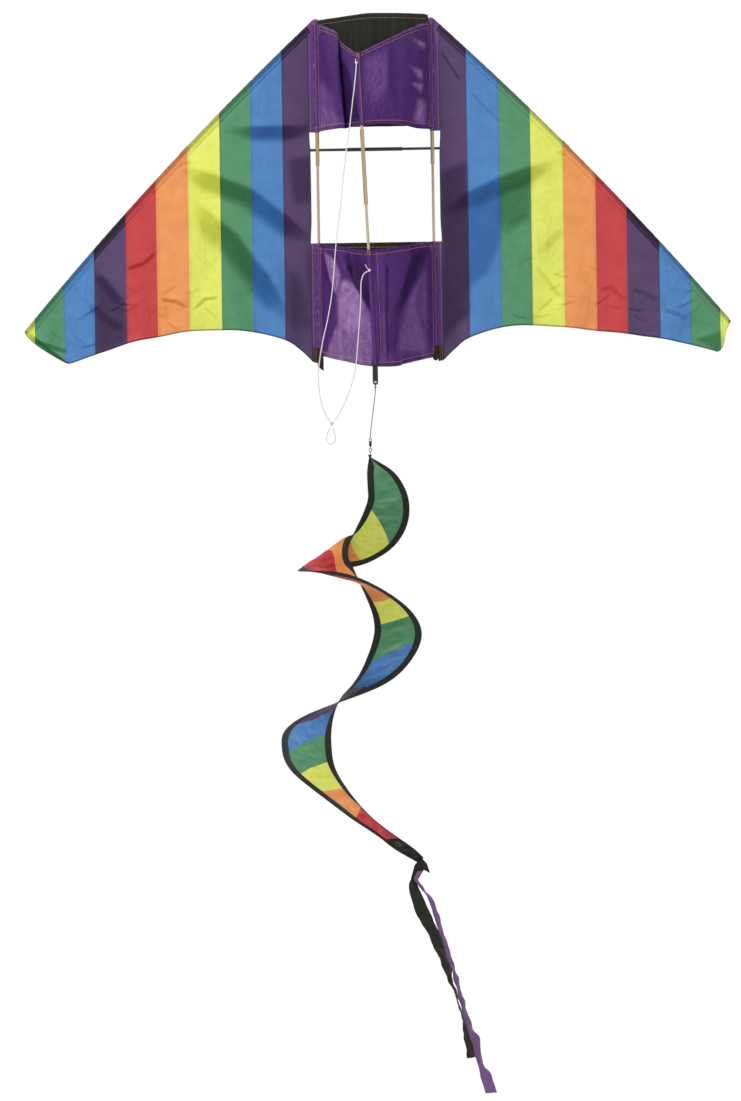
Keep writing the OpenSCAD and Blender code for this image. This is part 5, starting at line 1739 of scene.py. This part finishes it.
    def sail(self) -> None:
        """Spiral sail: the band between its edgings, with slanting wrinkles on it, mapped by its stripes."""
        rows, near, far = self.spiral()
        line = np.linspace(0, 1, self.columns)
        share = near + (1 - near - far) * line
        grid = self.point(rows, share)
        gone = along_path(grid[:, self.columns // 2])[:, None]
        across = share * np.linalg.norm(grid[:, -1] - grid[:, 0], axis=-1)[:, None]
        hold = np.sin(np.pi * line)
        slant = gone + 0.8 * across
        lift = hold * (1.5 * ripple(slant, across * 0.5, 38, 301) + 0.6 * ripple(gone, across, 15, 302))
        grid = grid + sheet_normals(grid) * lift[..., None]
        # Slanting streaks of darker and paler tone, and painted shade where the band is turned from the lamp
        mottle = 0.12 * ripple(slant, across * 0.3, 30, 303) + 0.1 * ripple(slant, across * 0.4, 11, 304)
        tone = hold * mottle - sum(depth * bell(rows[:, :1], turn, wide) for turn, wide, depth in self.away)
        sheet = Sheet("spiral_sail_cloth", grid, spread(self.stripe_map(rows, line), across), 0.6, FAR, tone)
        piece = place(sheet.build(), "twister", self.cabinet.spiral, "twister_ripstop", ["twister_sail"])
        edges = [self.edging("inner", rows, near), self.edging("outer", rows, far)]
        sheet.declare(piece, "hung", ["top_knot_tied"], edges)

    def edging(self, name: str, rows: Array, edge: Array) -> Object:
        """Bias tape folded over an edge of the spiral: a flat loop of cloth, thickest along its middle.

        Args:
            name: "inner" or "outer".
            rows: Rows of turns.
            edge: Share of the band's width that the edging takes.

        Returns:
            The edging.
        """
        line = np.linspace(0, 1, 12)
        share = (1.08 * line - 0.02) * edge
        share = share if name == "inner" else 1 - share[:, ::-1]
        grid = self.point(rows, share)
        gone = along_path(grid[:, 6])[:, None]
        thick = 1.5 + 0.5 * np.sin(np.pi * line) + 0.2 * ripple(gone, share * 300, 20, 310)
        sheet = Sheet(f"{name}_edging_tape", grid, spread(self.edging_w * line, gone), thick)
        return place(sheet.build(), "twister", self.cabinet.tape, "edge_tape", [f"twister_{name}_edging"])

    def end_tab(self) -> None:
        """Gathered end: a crumpled double flap, as rings from its middle to its outline and back."""
        end = self.point(np.array(self.turns[-1:], float), np.array([0.5]))[0, 0]
        outline = np.array([*self.end_outline, self.end_outline[0]], float)
        gone = along_path(outline)
        rim = read_along(outline, gone, np.linspace(0, gone[-1], 120, endpoint=False))
        middle = np.array([-1.0, -15.0])
        share = np.append(np.linspace(0.04, 1, 18), np.linspace(1, 0.04, 18))[:, None]
        flat = middle + (rim - middle) * share[..., None]
        x, z = flat[..., 0], flat[..., 1]
        side = np.repeat([-1.0, 1.0], 18)[:, None]
        bulge = 0.35 + 2.6 * np.sqrt(np.maximum(1 - share ** 4, 0))
        points = end + spread(x, side * bulge + 0.9 * ripple(x, z * 0.5, 9, 320), z)
        piece = skin("gathered_end_cloth", points, np.concatenate([flat, flat[:, :1]], 1), Ends.ROUND)
        place(piece, "twister", self.cabinet.tape, "black_ripstop", ["twister_end_tab"])

    def hitch(self) -> Object:
        """Hitch through the tab's eye: a loop of cord that crosses itself, and its knot."""
        t = around(60)
        ring = TAIL_EYE + spread(0.25 * np.sin(2 * t), 5.2 * np.sin(t), 5.2 * np.cos(t) - 5.2)
        hitch = join("tail_hitch_cord", [tube("hitch_ring", ring, self.cord_r, 10, Ends.LOOP),
                                         knot("hitch_knot", TAIL_EYE + [0, 0, -11.5], 2.6, 0.8)])
        return place(hitch, "tail_line", self.cabinet.cord, "black_cord", ["tail_hitch"])

    def line(self) -> None:
        """Tail line, a free cord from the hitch to the swivel."""
        hitch = self.hitch()
        spots = np.insert(np.array(self.route, float), 1, -BOX_DEPTH, axis=1)
        path = even_path(curve_through(spots, np.linspace(0, len(spots) - 1, 300)), 90)
        cord = tube("tail_line_cord", path, self.cord_r, 10)
        place(cord, "tail_line", self.cabinet.cord, "black_cord", ["tail_line"])

    def top_knot(self) -> None:
        """Cord from the swivel's lower eye to the knot at the spiral's top."""
        eye = SWIVEL + [0, 0, -23.4]
        tip = self.point(np.array(self.turns[:1], float), np.array([0.5]))[0, 0]
        run = even_path(curve_through([eye, eye * 0.6 + tip * 0.4, tip], np.linspace(0, 2, 40)), 24)
        top = join("top_knot_tied", [tube("top_cord", run, self.cord_r, 10),
                                     knot("top_knot", tip + [0, 0, 2.0], 4.6, 1.3)])
        place(top, "twister", self.cabinet.cord, "black_cord", ["twister_top_knot"])

    def build(self) -> None:
        """Builds the tail from the hitch down."""
        self.line()
        self.top_knot()
        self.sail()
        self.end_tab()


@dataclass
class Streamers:
    """Two ribbons tied to the end of the tail.

    Attributes:
        cabinet: Finishes.
        black: Rows of place, turn about the middle line and half width along the black ribbon.
        purple: The same rows along the purple ribbon.
    """

    cabinet: Cabinet
    black: tuple = (
        (62, -204, -2047, 30, 4), (62, -206, -2062, 24, 11), (68, -212, -2084, 15, 14),
        (84, -214, -2128, 15, 17), (109, -219, -2178, 48, 19), (137, -225, -2247, 64, 20),
        (152, -227, -2298, 80, 19), (167, -227, -2350, 95, 18), (183, -224, -2420, 66, 17),
        (194, -220, -2467, 52, 16))
    purple: tuple = (
        (79, -209, -2031, 12, 7), (69, -209, -2048, 12, 5), (76, -204, -2062, 40, 6),
        (98, -192, -2090, 62, 9), (120, -187, -2147, 58, 12), (134, -187, -2202, 64, 14),
        (160, -189, -2284, 70, 14), (176, -186, -2350, 68, 14), (190, -186, -2397, 62, 14),
        (203, -187, -2437, 38, 14), (212, -189, -2477, 60, 14), (227, -190, -2517, 26, 14),
        (238, -191, -2555, 20, 14))

    def ribbon(self, name: str, route: tuple, finish: Material, slot: str, node: str, seed: int) -> None:
        """Ribbon: a straight line of its width carried along the route and turned about it, with soft curls.

        Args:
            name: Name of the piece.
            route: Rows of place, turn and half width.
            finish: Material.
            slot: Name of a slot for its finish.
            node: Node that it stands for.
            seed: Number that fixes the curls.
        """
        rows = curve_through(route, np.linspace(0, len(route) - 1, 260))
        share = np.linspace(-1, 1, 20)
        turn = np.radians(rows[:, 3:4])
        across = share * rows[:, 4:5]
        grid = rows[:, None, :3] + across[..., None] * spread(np.cos(turn), np.sin(turn), 0.0)
        gone = along_path(rows[:, :3])[:, None]
        curl = 2.6 * ripple(gone * 0.7, across * 1.6, 42, seed)
        curl = curl + 1.3 * ripple(gone * 0.5, across, 14, seed + 1)
        curl = curl * ease(gone / 40) + 2.0 * share ** 2 * ease(gone / 60)
        grid = grid + sheet_normals(grid) * curl[..., None]
        sheet = Sheet(name, grid, spread(across, gone), 0.5)
        piece = place(sheet.build(), "streamers", finish, slot, [node])
        sheet.declare(piece, "hung", ["streamer_knot_tied"])

    def build(self) -> None:
        """Builds the knot and both ribbons."""
        cabinet = self.cabinet
        tied = knot("streamer_knot_tied", (63.6, -201.4, -2044.9), 5.9, 2.0)
        place(tied, "streamers", cabinet.tape, "black_cord", ["streamer_knot"])
        self.ribbon("black_ribbon", self.black, cabinet.tape, "black_ripstop", "black_streamer", 401)
        self.ribbon("purple_ribbon", self.purple, cabinet.ribbon, "purple_ribbon", "purple_streamer", 411)


@dataclass
class Studio:
    """Camera, lights, pale floor and white surroundings, in metres.

    Attributes:
        distance: Distance of the camera in front of the kite.
        height: Height of the camera from the nose line.
        aside: Place of the camera to the right of the middle.
        roll: Turn of the camera about its own axis, in degrees.
        lens: Focal length in millimetres.
        floor_z: Height of the floor from the nose line.
        floor_half: Half of the floor's side.
        soft_light: Strength of the light that comes from all around.
    """

    distance: float = 8.0
    height: float = -1.28
    aside: float = -0.0257
    roll: float = -0.9
    lens: float = 109.0
    floor_z: float = -2.62
    floor_half: float = 6.0
    soft_light: float = 0.37

    def camera(self) -> None:
        """Camera at the photograph's angle: level, straight on, and turned a little about its own axis."""
        data = bpy.data.cameras.new("photo_camera")
        data.lens = self.lens
        data.sensor_width = 36.0
        data.clip_end = 60.0
        camera = bpy.data.objects.new("photo_camera", data)
        upright = Euler((math.radians(90), 0, 0)).to_matrix().to_4x4()
        camera.matrix_world = (Matrix.Translation((self.aside, -self.distance, self.height)) @ upright
                               @ Matrix.Rotation(math.radians(self.roll), 4, "Z"))
        bpy.context.scene.collection.objects.link(camera)
        bpy.context.scene.camera = camera

    @staticmethod
    def lamp(name: str, spot: tuple[float, float, float], size: float, power: float) -> None:
        """Square soft lamp that faces the middle of the kite.

        Args:
            name: Name of the lamp.
            spot: Place in metres.
            size: Side of the lamp in metres.
            power: Power in watts.
        """
        data = bpy.data.lights.new(name, "AREA")
        data.energy = power
        data.size = size
        lamp = bpy.data.objects.new(name, data)
        aim = Vector((0.0, 0.0, -0.7)) - Vector(spot)
        lamp.matrix_world = Matrix.Translation(spot) @ aim.to_track_quat("-Z", "Y").to_matrix().to_4x4()
        bpy.context.scene.collection.objects.link(lamp)

    @staticmethod
    def white_to_camera(tree: Tree) -> Node:
        """1 for what the camera, a mirror or a clear piece sees, 0 for light that falls on the kite."""
        rays = add(tree, "LightPath").outputs
        seen = add(tree, "Math", [rays["Is Camera Ray"], rays["Is Glossy Ray"]], operation="MAXIMUM")
        return add(tree, "Math", [seen, rays["Is Transmission Ray"]], operation="MAXIMUM")

    def room(self) -> None:
        """World that lights the kite softly and looks white."""
        world = bpy.data.worlds.new("white_room")
        world.use_nodes = True
        tree = world.node_tree
        seen = self.white_to_camera(tree)
        strength = add(tree, "MapRange", {0: seen, "To Min": self.soft_light, "To Max": 1.0})
        fill(tree.nodes["Background"], {"Color": (1, 1, 1, 1), "Strength": strength})
        bpy.context.scene.world = world

    def floor(self) -> None:
        """Pale floor that looks nearly white and keeps the kite's shadow."""
        material, tree, shader = start_material("pale matte floor")
        fill(shader, {"Base Color": linear("#f4f4f2"), "Roughness": 0.9})
        glow = add(tree, "Emission", {"Color": (1, 1, 1, 1), "Strength": 1.06})
        share = add(tree, "Math", [self.white_to_camera(tree), 0.9], operation="MULTIPLY")
        fill(tree.nodes["Material Output"], {"Surface": add(tree, "MixShader", [share, shader, glow])})
        mesh = bpy.data.meshes.new("floor")
        half, level = self.floor_half, self.floor_z
        corners = [(-half, -half, level), (half, -half, level), (half, half, level), (-half, half, level)]
        mesh.from_pydata(corners, [], [(0, 1, 2, 3)])
        mesh.materials.append(material)
        floor = bpy.data.objects.new("floor", mesh)
        bpy.context.scene.collection.objects.link(floor)

    def build(self) -> None:
        """Builds the camera, lamps and surroundings."""
        bpy.context.scene.view_settings.view_transform = "Standard"
        self.camera()
        self.room()
        self.floor()
        self.lamp("key_lamp", (-2.6, -3.4, 2.6), 1.6, 178.0)
        self.lamp("fill_lamp", (3.2, -3.6, 0.2), 2.4, 54.0)
        self.lamp("back_lamp", (1.8, 4.2, 2.2), 2.2, 150.0)


def main() -> None:
    """Builds the studio and the kite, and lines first."""
    logging.basicConfig(level=logging.INFO, format="%(message)s")
    cabinet = Cabinet()
    Studio().build()
    Bridle(cabinet).build()
    SpinTail(cabinet).build()
    Streamers(cabinet).build()
    BoxBody(cabinet).build()
    KeelTrim(cabinet).build()
    for side, wing in WINGS.items():
        Wing(cabinet, side, **wing).build()
    Rods(cabinet).dress()


if __name__ == "__main__":
    main()
